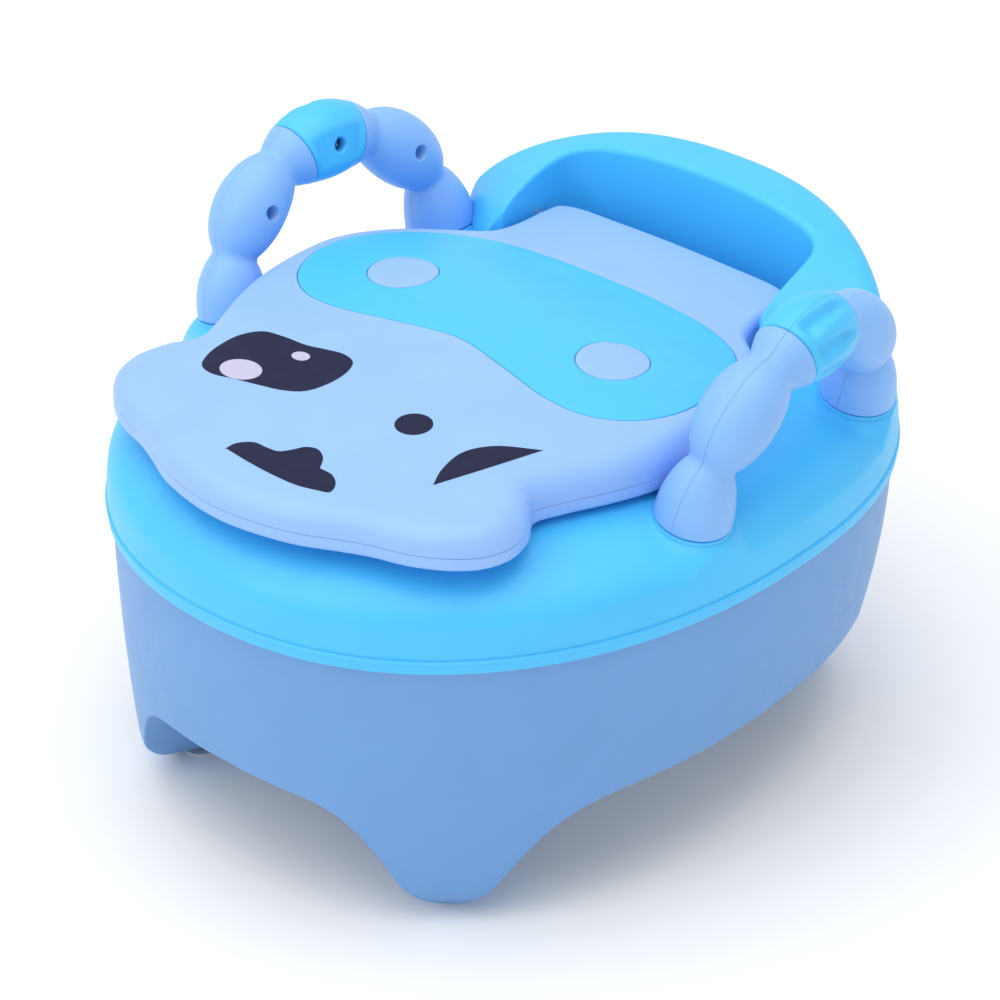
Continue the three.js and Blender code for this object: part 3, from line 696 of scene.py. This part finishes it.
def grip_radius(turn, bend, half):
    """The grip swells in the middle; it is flattened inside and fluted outside."""
    away = (turn - 90) / GRIP_HALF_TURN
    radius = lerp(*GRIP, away ** 2)
    if half > 0:
        flat = GRIP_FLAT * radius / max(abs(math.sin(bend)), 0.5)
        keep = float(ramp(abs(away), *GRIP_FLAT_RAMP))
        radius = lerp(min(radius, flat), radius, keep)
    else:
        width = math.radians(lerp(*FLUTE_WIDTH, (away + FLUTE_SPAN) / (2 * FLUTE_SPAN)))
        along = float(ramp(away, *FLUTE_START)) * float(1 - ramp(away, *FLUTE_FADE))
        for flute in FLUTES:
            across = min(abs(bend - math.radians(flute)) / width, 1)
            radius -= FLUTE_DEPTH * (1 - across ** 2) * along
    return radius - end_rounding((1 - abs(away)) * GRIP_HALF_TURN)


def half_tube(arch, half, turns, radius_at, core=None):
    """
    Half of a tube along the arch, cut at the parting plane; half is 1 for the inner half.
    With a core radius the tube is hollow.
    """
    shape = Shape()
    bends = [0, 0.02, *np.linspace(0.06, math.pi - 0.06, 40), math.pi - 0.02, math.pi]
    rings = []
    for turn in turns:
        middle, out = arch.at(turn), arch.out(turn)
        points = []
        for k, bend in enumerate(bends):
            at_parting = k in (0, len(bends) - 1)
            radius = radius_at(turn, bend) - (PARTING_CHAMFER if at_parting else 0)
            across = half * (radius * math.sin(bend) + PARTING)
            points.append(middle + out * radius * math.cos(bend) + arch.inward * across)
        if core:
            for bend in np.linspace(math.pi, 0, CORE_STEPS + 1):
                across = half * (core * math.sin(bend) + PARTING)
                points.append(middle + out * core * math.cos(bend) + arch.inward * across)
        rings.append(shape.ring(points))
    shape.strips(rings)
    for ring in (rings[0], rings[-1]):
        if core:
            outer, inner = ring[:len(bends)], ring[len(bends):][::-1]
            picks = [round(i * (len(bends) - 1) / CORE_STEPS) for i in range(CORE_STEPS + 1)]
            for i in range(CORE_STEPS):
                shape.faces.append((*outer[picks[i]:picks[i + 1] + 1], inner[i + 1], inner[i]))
        else:
            shape.faces.append(tuple(ring))
    return shape


def screw_plane(arch, place):
    turn = SCREW_TURNS[place]
    skin = GRIP_FLAT * GRIP[0] if place == "grip" else BEAD
    return arch.at(turn) + arch.inward * (skin - WELL_DEPTH[place])


def well(arch, place):
    seat = screw_plane(arch, place) - arch.inward * (SCREW_HEAD_HEIGHT + GAP)
    profile = [(0, 0), (WELL_RADIUS, 0), (WELL_RADIUS, WELL_LENGTH), (0, WELL_LENGTH)]
    return revolve(profile, seat, arch.inward, 40)


def screw(arch, place):
    """A pan-head screw whose head lies at the bottom of its well."""
    profile = [
        (0, -SCREW_LENGTH), (SCREW_SHANK * 0.4, -SCREW_LENGTH),
        (SCREW_SHANK, -SCREW_LENGTH + SCREW_TIP), (SCREW_SHANK, -SCREW_HEAD_HEIGHT),
        (SCREW_HEAD, -SCREW_HEAD_HEIGHT), (SCREW_HEAD, -1), (SCREW_HEAD - 0.2, -0.5),
        (SCREW_HEAD - 0.8, -0.1), (0, 0.1),
    ]
    return revolve(profile, screw_plane(arch, place), arch.inward, 36)


def cross_recess(arch, place):
    shape = Shape()
    start = screw_plane(arch, place) - arch.inward * CROSS_DEPTH
    side = arch.inward.orthogonal().normalized()
    other = arch.inward.cross(side)
    arm, blade, deep = 1.7, 0.38, 3
    plus = [
        (arm, blade), (blade, blade), (blade, arm), (-blade, arm), (-blade, blade), (-arm, blade),
        (-arm, -blade), (-blade, -blade), (-blade, -arm), (blade, -arm), (blade, -blade),
        (arm, -blade),
    ]
    rings = [
        shape.ring(start + side * x + other * y + arch.inward * level for x, y in plus)
        for level in (0, deep)
    ]
    shape.strips(rings)
    shape.faces.extend(tuple(ring) for ring in rings)
    return shape


def make_handles(pale, cyan, steel):
    turns = bead_turns()
    reach = GRIP_HALF_TURN - GRIP_END_GAP
    shares = [-1, -0.985, -0.965, *np.linspace(-0.94, 0.94, 56), 0.965, 0.985, 1]
    grip_turns = [90 + share * reach for share in shares]
    for word, arch in ARCH_FRAMES.items():
        for half, name in ((1, "inner"), (-1, "outer")):
            tube = half_tube(arch, half, turns, lambda turn, bend: bead_radius(turn))
            # Here pale is the handles' darker copy of the lid's blue, which carries painted shade.
            piece = build(f"handle_{name}_look_{word}", tube, pale, "seat",
                          [f"handle_{name}_half_{word}"])
            sleeve = half_tube(
                arch, half, grip_turns, lambda turn, bend: grip_radius(turn, bend, half),
                GRIP_CORE + GAP,
            )
            grip = build(f"grip_{name}_look_{word}", sleeve, cyan, "seat",
                         [f"grip_{name}_half_{word}"], sharp=50)
            if half > 0:
                for place in SCREW_TURNS:
                    carve(grip if place == "grip" else piece, well(arch, place))
        for place in SCREW_TURNS:
            node = f"screw_{place}_{word}"
            piece = build(node + "_look", screw(arch, place), steel, "seat", [node],
                          sharp=30)
            carve(piece, cross_recess(arch, place))


# ---- Seat top -----------------------------------------------------------------------------

def back_rise(angle):
    share = min(turn_from_rear(angle) / BACK_HALF_TURN, 1)
    return (1 - share ** RISE_POWER) ** RISE_ROUND


def wall_inset(angle, z):
    """The wall leans in toward its top, more at the shoulders than behind."""
    depth, height = LIP_GROOVE
    groove = depth * math.exp(-max(z - LIP_TOP, 0) / height)
    lean = lerp(*BACK_LEAN, float(ramp(turn_from_rear(angle), 0, BACK_HALF_TURN)))
    rise = min(max((z - LIP_TOP) / LEAN_HEIGHT, 0), 1.3)
    return LIP_WALL_INSET + groove + lean * rise ** LEAN_POWER


def lid_bottom(y):
    return LID_BOTTOM + LID_TILT * y


def dome_height(angle, radius):
    edge = egg(angle, RIM, wall_inset(angle, DECK_EDGE_Z))
    crest = egg(angle, OPENING) + OPENING_ROUND[0]
    share = min(max((edge - radius) / (edge - crest), 0), 1)
    crest_z = lid_bottom(WIDEST_Y + radius * math.sin(angle)) - LID_LIFT
    return lerp(DECK_EDGE_Z, crest_z, math.sqrt(1 - (1 - share) ** 2))


def pocket_radius(angle):
    degrees = turn_from_rear(angle)
    turn = math.radians(degrees)
    side = POCKET_HALF_WIDTH / max(math.sin(turn), 0.01)
    bow = POCKET_BOW * math.cos(min(turn * 2.6, math.pi / 2))
    back = (POCKET_BACK_Y - WIDEST_Y + bow) / max(math.cos(turn), 0.01)
    box = (side ** -POCKET_CORNER + back ** -POCKET_CORNER) ** (-1 / POCKET_CORNER)
    radius, at_degrees = CHEEK_RADIUS
    cheek = radius + CHEEK_SPREAD * (degrees - at_degrees)
    return box if degrees < CHEEK_START else max(box, cheek)


def flare(x, y, z):
    """Raises the deck softly round the bosses that carry the handles' feet."""
    for arch in ARCH_FRAMES.values():
        for turn in (0, 180):
            foot = arch.at(turn)
            away = math.hypot(x - foot.x, y - foot.y)
            if away > FLARE_REACH:
                continue
            outward = -((x - foot.x) * arch.inward.x + (y - foot.y) * arch.inward.y)
            top = foot.z - FLARE_SUNK - math.tan(math.radians(HANDLE["lean"])) * outward
            swell = top - FLARE_HEIGHT * float(ramp(away, *FLARE_RAMP))
            blend = min(max(0.5 + 0.5 * (swell - z) / FLARE_BLEND, 0), 1)
            z = lerp(z, swell, blend) + FLARE_BLEND * blend * (1 - blend)
    return z


def lip_profile(rim):
    """The lip's outer side, with the bead that runs along its upper edge."""
    return [
        (rim - 0.9, LIP_BOTTOM),
        (rim - 0.45, LIP_BOTTOM + 0.15),
        (rim - 0.3, LIP_BOTTOM + 0.6),
        (rim - 0.3, LIP_TOP - 2.2),
        *((rim - 0.35 + LIP_BEAD * 0.6 * math.sin(t), LIP_TOP - LIP_BEAD - LIP_BEAD * math.cos(t))
          for t in np.linspace(0.25, 2.4, 9)),
        (rim - 0.75, LIP_TOP),
    ]


def seat_profile(angle):
    """The lip, the wall, the backrest or the deck, and the opening, then back along the inside."""
    rim = egg(angle, RIM)
    opening = egg(angle, OPENING)
    rise = back_rise(angle)
    backness = float(ramp(rise, 0, 0.35))
    beside = float(ramp(turn_from_rear(angle), BACK_HALF_TURN, 75))
    rounding = 5
    pocket = pocket_radius(angle)
    brim = dome_height(angle, pocket)
    floor = brim - HINGE_TROUGH
    floor_round = floor + POCKET_FLOOR_ROUND
    mouth_round, mouth_drop = OPENING_ROUND
    top = lerp(brim, BACK_TOP, rise)
    wall_top = lerp(DECK_EDGE_Z, top - 2 * rounding, backness)
    wall = []
    for i in range(21):
        z = lerp(LIP_TOP + 0.05, wall_top, i / 20)
        wall.append((rim - wall_inset(angle, z), z))
    shoulder = wall[-1][0]
    back = [
        *quarter(shoulder, wall_top, shoulder - SHOULDER_ROUND, top, 12)[1:],
        (lerp(shoulder - SHOULDER_ROUND, pocket + 3, 0.5), top),
        *quarter(pocket + 3, top, pocket, top - 3, 8, True),
        *((pocket - 0.5 * t, lerp(top - 3, floor_round, t)) for t in np.linspace(0.1, 1, 10)),
        *quarter(pocket - 0.5, floor_round, pocket - 4.5, floor, 8)[1:],
    ]
    line = wall[-1:]
    for i, (radius, z) in enumerate(back):
        share = lerp(0.004, 0.9, (i / (len(back) - 1)) ** 1.35)
        r = lerp(radius, lerp(shoulder, opening + mouth_round, share), beside)
        line.append((r, lerp(dome_height(angle, r), z, backness)))
    last_radius, last_z = line[-1]
    lip_z = dome_height(angle, opening)
    for i in range(1, 10):
        r = lerp(last_radius, opening + mouth_round, i / 10)
        z = lerp(dome_height(angle, r), lerp(last_z, lip_z, i / 10), backness)
        line.append((r, z))
    line += quarter(opening + mouth_round, lip_z, opening, lip_z - mouth_drop, 9, True)
    outside = wall[:-1] + [
        (r, flare(r * math.cos(angle), WIDEST_Y + r * math.sin(angle), z)) for r, z in line
    ]
    outside.append((opening, SKIRT_BOTTOM + 1))
    outside.append((opening + 0.5, SKIRT_BOTTOM))
    every = wall[1::6] + line[2::7] + [(opening, SKIRT_BOTTOM)]
    return [
        *lip_profile(rim),
        *outside,
        *reversed(offset_line(every, WALL)),
        (rim - 7, LIP_BOTTOM),
    ]


def seat_angles():
    """Even steps all round, with closer ones where the shoulders of the backrest end."""
    turns = list(np.arange(0, 360, 0.6))
    turns += [90 + side * (BACK_HALF_TURN + d) for side in (-1, 1)
              for d in (-0.9, -0.5, -0.25, -0.1, -0.02, 0.05, 0.2)]
    return [math.radians(turn) for turn in sorted(turns)]


def boss(arch, turn):
    """The round stand under one foot of a handle."""
    top = arch.at(turn) - arch.rise * GAP
    profile = [
        (0, 0), (BEAD - 0.2, 0), (BEAD, 0.05), (BEAD + 0.2, 0.3), (BEAD + 0.3, 1),
        (BEAD + 0.6, BOSS_DEPTH), (0, BOSS_DEPTH),
    ]
    return revolve(profile, top, -arch.rise, 72)


def make_seat(material):
    shape = swept(seat_profile, seat_angles(), True)
    for arch in ARCH_FRAMES.values():
        for turn in (0, 180):
            shape.add(boss(arch, turn))
    build("seat_top_look", shape, material, "seat", ["seat_top"], sharp=48)


# ---- Lid ----------------------------------------------------------------------------------

def crown(x, y):
    """Height of the lid's top: highest across the muzzle, falling to the front, sides and flap."""
    front = np.maximum(CROWN_Y - y, 0)
    fall = FLAP_DROP * ramp(y, CROWN_Y, FLAP_DROP_END)
    return CROWN_TOP - CROWN_BEND["front"] * front ** 2 - fall - CROWN_BEND["side"] * x ** 2


def crown_on(outline, lift=0.0):
    return crown(outline[:, 0], outline[:, 1]) + lift


def lid_round(outline):
    """The edge's rounding at each point: small along the flap, and never down to the seam."""
    x, y = outline[:, 0], outline[:, 1]
    room = crown(x, y) - lid_bottom(y) - LID_SEAM - 1
    return np.minimum(lerp(LID_ROUND, FLAP_ROUND, ramp(y, *FLAP_ROUND_RAMP)), room)


def lid_edge_rings(shape, outline, shrink, steps):
    """Rings that round the lid's edge, from its side up to the brink of its top."""
    radius = lid_round(outline) - shrink
    rings = []
    for i in range(steps + 1):
        turn = math.pi / 2 * (1 - i / steps)
        inset = shrink + radius * (1 - math.sin(turn))
        moved = inward(outline, inset)
        height = crown_on(moved) - shrink - radius * (1 - math.cos(turn))
        rings.append(shape.ring(on(moved, height)))
    return rings


def make_lid_upper(material):
    outline = mirrored(LID_OUTLINE, OUTLINE_STEPS["lid"])
    seam = lid_bottom(outline[:, 1]) + LID_SEAM + SEAM_GAP
    shape = Shape()
    sides = [
        shape.ring(on(inward(outline, SEAM_CHAMFER), seam)),
        shape.ring(on(outline, seam + SEAM_CHAMFER)),
    ]
    outer = lid_edge_rings(shape, outline, 0, 12)
    shape.strips(sides + outer)
    muzzle = mirrored(MUZZLE_OUTLINE, OUTLINE_STEPS["muzzle"])
    brink = inward(muzzle, -SEAM_CHAMFER)
    rim = shape.ring(on(brink, crown_on(brink)))
    lip = shape.ring(on(muzzle, crown_on(muzzle, -SEAM_CHAMFER)))
    recess = shape.ring(on(muzzle, crown_on(muzzle, -INLAY_DEPTH)))
    shape.strips([rim, lip, recess])
    shape.patch([outer[-1], rim], crown)
    shape.patch([recess], lambda x, y: crown(x, y) - INLAY_DEPTH, spacing=6)
    inner = lid_edge_rings(shape, outline, WALL, 4)
    foot = shape.ring(on(inward(outline, WALL), seam))
    shape.strip(sides[0], foot)
    shape.strips([foot] + inner)
    shape.patch([inner[-1]], lambda x, y: crown(x, y) - WALL, spacing=8)
    build("lid_upper_look", shape, material, "lid", ["lid_upper_shell"])


def make_lid_lower(material):
    outline = mirrored(LID_OUTLINE, OUTLINE_STEPS["lid"])
    floor_under, floor_top = LID_FLOOR
    seam = LID_SEAM - SEAM_GAP
    shape = Shape()

    def level(inset, height):
        moved = inward(outline, inset)
        return shape.ring(on(moved, lid_bottom(moved[:, 1]) + height))

    rings = [level(9, floor_under), level(8, 0.6), level(7.2, 0)]
    for t in np.linspace(0, math.pi / 2, 7):
        inset, height = (LID_BOTTOM_ROUND * (1 - f(t)) for f in (math.sin, math.cos))
        rings.append(level(inset, height))
    rings += [
        level(0, seam - SEAM_CHAMFER),
        level(SEAM_CHAMFER, seam),
        level(WALL, seam),
        level(WALL + 0.5, floor_top),
    ]
    shape.strips(rings)
    shape.patch([rings[0]], lambda x, y: lid_bottom(y) + floor_under, spacing=6)
    shape.patch([rings[-1]], lambda x, y: lid_bottom(y) + floor_top, spacing=8)
    build("lid_lower_look", shape, material, "lid", ["lid_lower_shell"])


def inlay(loops, lift, edge):
    """A thin plate in the crown with softened edges: the first loop outside, the rest holes."""
    under = lift - (INLAY_DEPTH - GAP)
    shape = Shape()
    tops, bottoms = [], []
    for i, loop in enumerate(loops):
        sign = 1 if i == 0 else -1
        rings = []
        for turn in (0, 0.5, 1.05, math.pi / 2):
            moved = inward(loop, sign * edge * (1 - math.sin(turn)))
            rings.append(shape.ring(on(moved, crown_on(moved, lift - edge * (1 - math.cos(turn))))))
        rings.append(shape.ring(on(loop, crown_on(loop, under))))
        shape.strips(rings)
        tops.append(rings[0])
        bottoms.append(rings[-1])
    shape.patch(tops, lambda x, y: crown(x, y) + lift)
    shape.patch(bottoms, lambda x, y: crown(x, y) + under, spacing=6)
    return shape


def make_muzzle(cyan, pale):
    x, y, radius = NOSTRIL
    steps = OUTLINE_STEPS["disc"]
    muzzle = inward(mirrored(MUZZLE_OUTLINE, OUTLINE_STEPS["muzzle"]), GAP)
    holes = [ellipse(side * x, y, radius, radius, steps) for side in (-1, 1)]
    plate = inlay([muzzle, *holes], **MUZZLE_PLATE)
    build("muzzle_inlay_look", plate, cyan, "lid", ["muzzle_inlay"])
    for side, word in ((1, "right"), (-1, "left")):
        disc = ellipse(side * x, y, radius - GAP, radius - GAP, steps)
        button = inlay([disc], **NOSTRIL_PLATE)
        build(f"nostril_look_{word}", button, pale, "lid", [f"nostril_button_{word}"])


def decal(name, outline, level, material):
    """A printed mark as a film that hugs the lid."""
    shape = Shape()
    top = shape.ring(on(outline, crown_on(outline, level)))
    bottom = shape.ring(on(outline, crown_on(outline, -PRINT_SUNK)))
    shape.strip(top, bottom)
    shape.patch([top], lambda x, y: crown(x, y) + level, spacing=2.5)
    shape.patch([bottom], lambda x, y: crown(x, y) - PRINT_SUNK, spacing=5)
    build(name, shape, material, "lid")


def clipped(outline, boundary):
    """The outline with every point outside the boundary drawn in to its nearest edge."""
    result = outline.copy()
    for i, within in enumerate(inside(outline, [boundary])):
        if not within:
            nearest = ((boundary - outline[i]) ** 2).sum(axis=1).argmin()
            result[i] = boundary[nearest]
    return result


def make_face(ink, white):
    eye = spaced(spline(EYE, True), OUTLINE_STEPS["eye"])
    tuft = with_tips(TUFT, TUFT_TIPS, OUTLINE_STEPS["tuft"])
    wink = with_tips(WINK, WINK_TIPS, OUTLINE_STEPS["wink"])
    x, y, radius = SPOT
    decal("print_eye", eye, PRINT_LEVEL, ink)
    decal("print_glint_large", clipped(ellipse(*GLINT_LARGE), eye), GLINT_LEVEL, white)
    decal("print_glint_small", ellipse(*GLINT_SMALL), GLINT_LEVEL, white)
    decal("print_spot", ellipse(x, y, radius, radius), PRINT_LEVEL, ink)
    decal("print_tuft", tuft, PRINT_LEVEL, ink)
    decal("print_wink", wink, PRINT_LEVEL, ink)


def make_pins(steel):
    for word in ("right", "left"):
        node = f"hinge_pin_{word}"
        low, high = box_mm(node)
        middle = (low + high) / 2
        radius = (high.z - low.z) / 2
        length = high.x - low.x
        profile = [
            (0, 0), (radius - PIN_CHAMFER, 0), (radius, PIN_CHAMFER),
            (radius, length - PIN_CHAMFER), (radius - PIN_CHAMFER, length), (0, length),
        ]
        shape = revolve(profile, (low.x, middle.y, middle.z), (1, 0, 0), 40)
        build(node + "_look", shape, steel, "seat", [node], sharp=30)


# ---- Materials ----------------------------------------------------------------------------

def linear(r, g, b):
    """A colour given as 8-bit screen values, as linear light."""
    return tuple((c / 255 / 12.92) if c < 10.3 else ((c / 255 + 0.055) / 1.055) ** 2.4
                 for c in (r, g, b))


def noise(nodes, links, place, scale, detail):
    node = nodes.new("ShaderNodeTexNoise")
    node.inputs["Scale"].default_value = scale
    node.inputs["Detail"].default_value = detail
    links.new(place, node.inputs["Vector"])
    return node.outputs["Fac"]


def mapped(nodes, links, value, low, high, from_low=0.3, from_high=0.7):
    node = nodes.new("ShaderNodeMapRange")
    node.inputs["From Min"].default_value = from_low
    node.inputs["From Max"].default_value = from_high
    node.inputs["To Min"].default_value = low
    node.inputs["To Max"].default_value = high
    links.new(value, node.inputs["Value"])
    return node.outputs["Result"]


def surface(name, colour, roughness, grain=0.25, grain_scale=2600, vary=0.02, metal=0.0,
            under=0.0, shine=0.5, edge=0.05):
    """A moulded or metal surface: mottled colour, uneven gloss, fine grain and worn edges."""
    material = bpy.data.materials.new(name)
    material.use_nodes = True
    nodes, links = material.node_tree.nodes, material.node_tree.links
    shader = nodes["Principled BSDF"]
    place = nodes.new("ShaderNodeTexCoord").outputs["Object"]
    mottle = mapped(nodes, links, noise(nodes, links, place, *MOTTLE), 1 - vary, 1 + vary)
    tint = nodes.new("ShaderNodeHueSaturation")
    tint.inputs["Color"].default_value = (*colour, 1)
    links.new(mottle, tint.inputs["Value"])
    geometry = nodes.new("ShaderNodeNewGeometry")
    worn = mapped(nodes, links, geometry.outputs["Pointiness"], 0, edge, *WORN_BAND)
    mix = nodes.new("ShaderNodeMix")
    mix.data_type = "RGBA"
    links.new(worn, mix.inputs["Factor"])
    links.new(tint.outputs["Color"], mix.inputs["A"])
    mix.inputs["B"].default_value = WORN_COLOUR
    links.new(mix.outputs["Result"], shader.inputs["Base Color"])
    gloss = noise(nodes, links, place, *GLOSS)
    uneven = mapped(nodes, links, gloss, roughness - GLOSS_SPREAD, roughness + GLOSS_SPREAD)
    links.new(uneven, shader.inputs["Roughness"])
    bump = nodes.new("ShaderNodeBump")
    bump.inputs["Strength"].default_value = grain
    bump.inputs["Distance"].default_value = GRAIN_DEPTH
    links.new(noise(nodes, links, place, grain_scale, GRAIN_DETAIL), bump.inputs["Height"])
    links.new(bump.outputs["Normal"], shader.inputs["Normal"])
    shader.inputs["Metallic"].default_value = metal
    shader.inputs["Subsurface Weight"].default_value = under
    shader.inputs["Subsurface Radius"].default_value = SUBSURFACE_RADIUS
    shader.inputs["Subsurface Scale"].default_value = SUBSURFACE_SCALE
    shader.inputs["Specular IOR Level"].default_value = shine
    return material


# ---- Room, light and camera -----------------------------------------------------------------

def make_floor():
    mesh = bpy.data.meshes.new("floor")
    corners = [(-1, -1), (1, -1), (1, 1), (-1, 1)]
    mesh.from_pydata([(x * FLOOR_REACH, y * FLOOR_REACH, 0) for x, y in corners],
                     [], [(0, 1, 2, 3)])
    floor = bpy.data.objects.new("floor", mesh)
    bpy.context.scene.collection.objects.link(floor)
    mesh.materials.append(surface("floor_paper", (0.98, 0.98, 0.98), roughness=0.9, vary=0.004,
                                  edge=0))


def area_light(name, location, size, power, colour):
    data = bpy.data.lights.new(name, "AREA")
    data.shape = "DISK"
    data.size = size
    data.energy = power
    data.color = colour
    lamp = bpy.data.objects.new(name, data)
    lamp.location = location
    towards = Vector(LAMP_AIM) - Vector(location)
    lamp.rotation_mode = "QUATERNION"
    lamp.rotation_quaternion = towards.to_track_quat("-Z", "Y")
    bpy.context.scene.collection.objects.link(lamp)


def make_light():
    world = bpy.data.worlds.new("studio")
    world.use_nodes = True
    background = world.node_tree.nodes["Background"]
    background.inputs["Color"].default_value = (1, 1, 1, 1)
    background.inputs["Strength"].default_value = SKY_STRENGTH
    bpy.context.scene.world = world
    area_light("top_box", (-0.1, -0.3, 1.9), size=2.6, power=22, colour=(1, 1, 1))
    area_light("front_box", (-0.6, -1.8, 1.3), size=1.2, power=5.5, colour=(1, 0.99, 0.99))
    view = bpy.context.scene.view_settings
    view.view_transform = "Standard"
    view.look = "None"


def make_camera():
    data = bpy.data.cameras.new("camera")
    data.lens = LENS
    data.sensor_width = SENSOR
    camera = bpy.data.objects.new("camera", data)
    a, e = math.radians(AZIMUTH), math.radians(ELEVATION)
    back = Vector((math.sin(a) * math.cos(e), -math.cos(a) * math.cos(e), math.sin(e)))
    camera.location = (Vector(TARGET) + back * DISTANCE) / 1000
    camera.rotation_mode = "QUATERNION"
    camera.rotation_quaternion = (-back).to_track_quat("-Z", "Y")
    bpy.context.scene.collection.objects.link(camera)
    bpy.context.scene.camera = camera


pale = surface("pale_blue_moulding", linear(146, 188, 250), roughness=0.45, under=0.12)
# The base is the lid's pale blue moulding, darkened here as painted shade for its walls, which face
# away from the top lamp.
base_painted_shade = surface("base_moulding_painted_shade", linear(105, 157, 214), roughness=0.45, under=0.12)
# The handles are the lid's pale blue moulding too, darkened slightly as painted shade on their
# rounded sides.
handle_painted_shade = surface("handle_moulding_painted_shade", linear(133, 185, 245), roughness=0.42, under=0.12)
cyan = surface("cyan_moulding", linear(72, 194, 252), roughness=0.42, under=0.12)
pot = surface("pot_moulding", linear(205, 228, 250), roughness=0.34, vary=0.01, under=0.15)
rubber = surface("pad_rubber", linear(206, 212, 220), roughness=0.8, grain=0.6, grain_scale=1500)
steel = surface("zinc_steel", linear(190, 194, 200), roughness=0.32, metal=1, vary=0.06)
ink = surface("printed_ink", linear(28, 30, 62), roughness=0.6, vary=0.05, shine=0.2, edge=0)
white = surface("printed_white", linear(190, 188, 216), roughness=0.5, vary=0.02, edge=0)

make_base(base_painted_shade)
make_foot_pads(rubber)
make_pot(pot)
make_seat(cyan)
make_handles(handle_painted_shade, cyan, steel)
make_lid_upper(pale)
make_lid_lower(pale)
make_muzzle(cyan, pale)
make_face(ink, white)
make_pins(steel)
make_floor()
make_light()
make_camera()
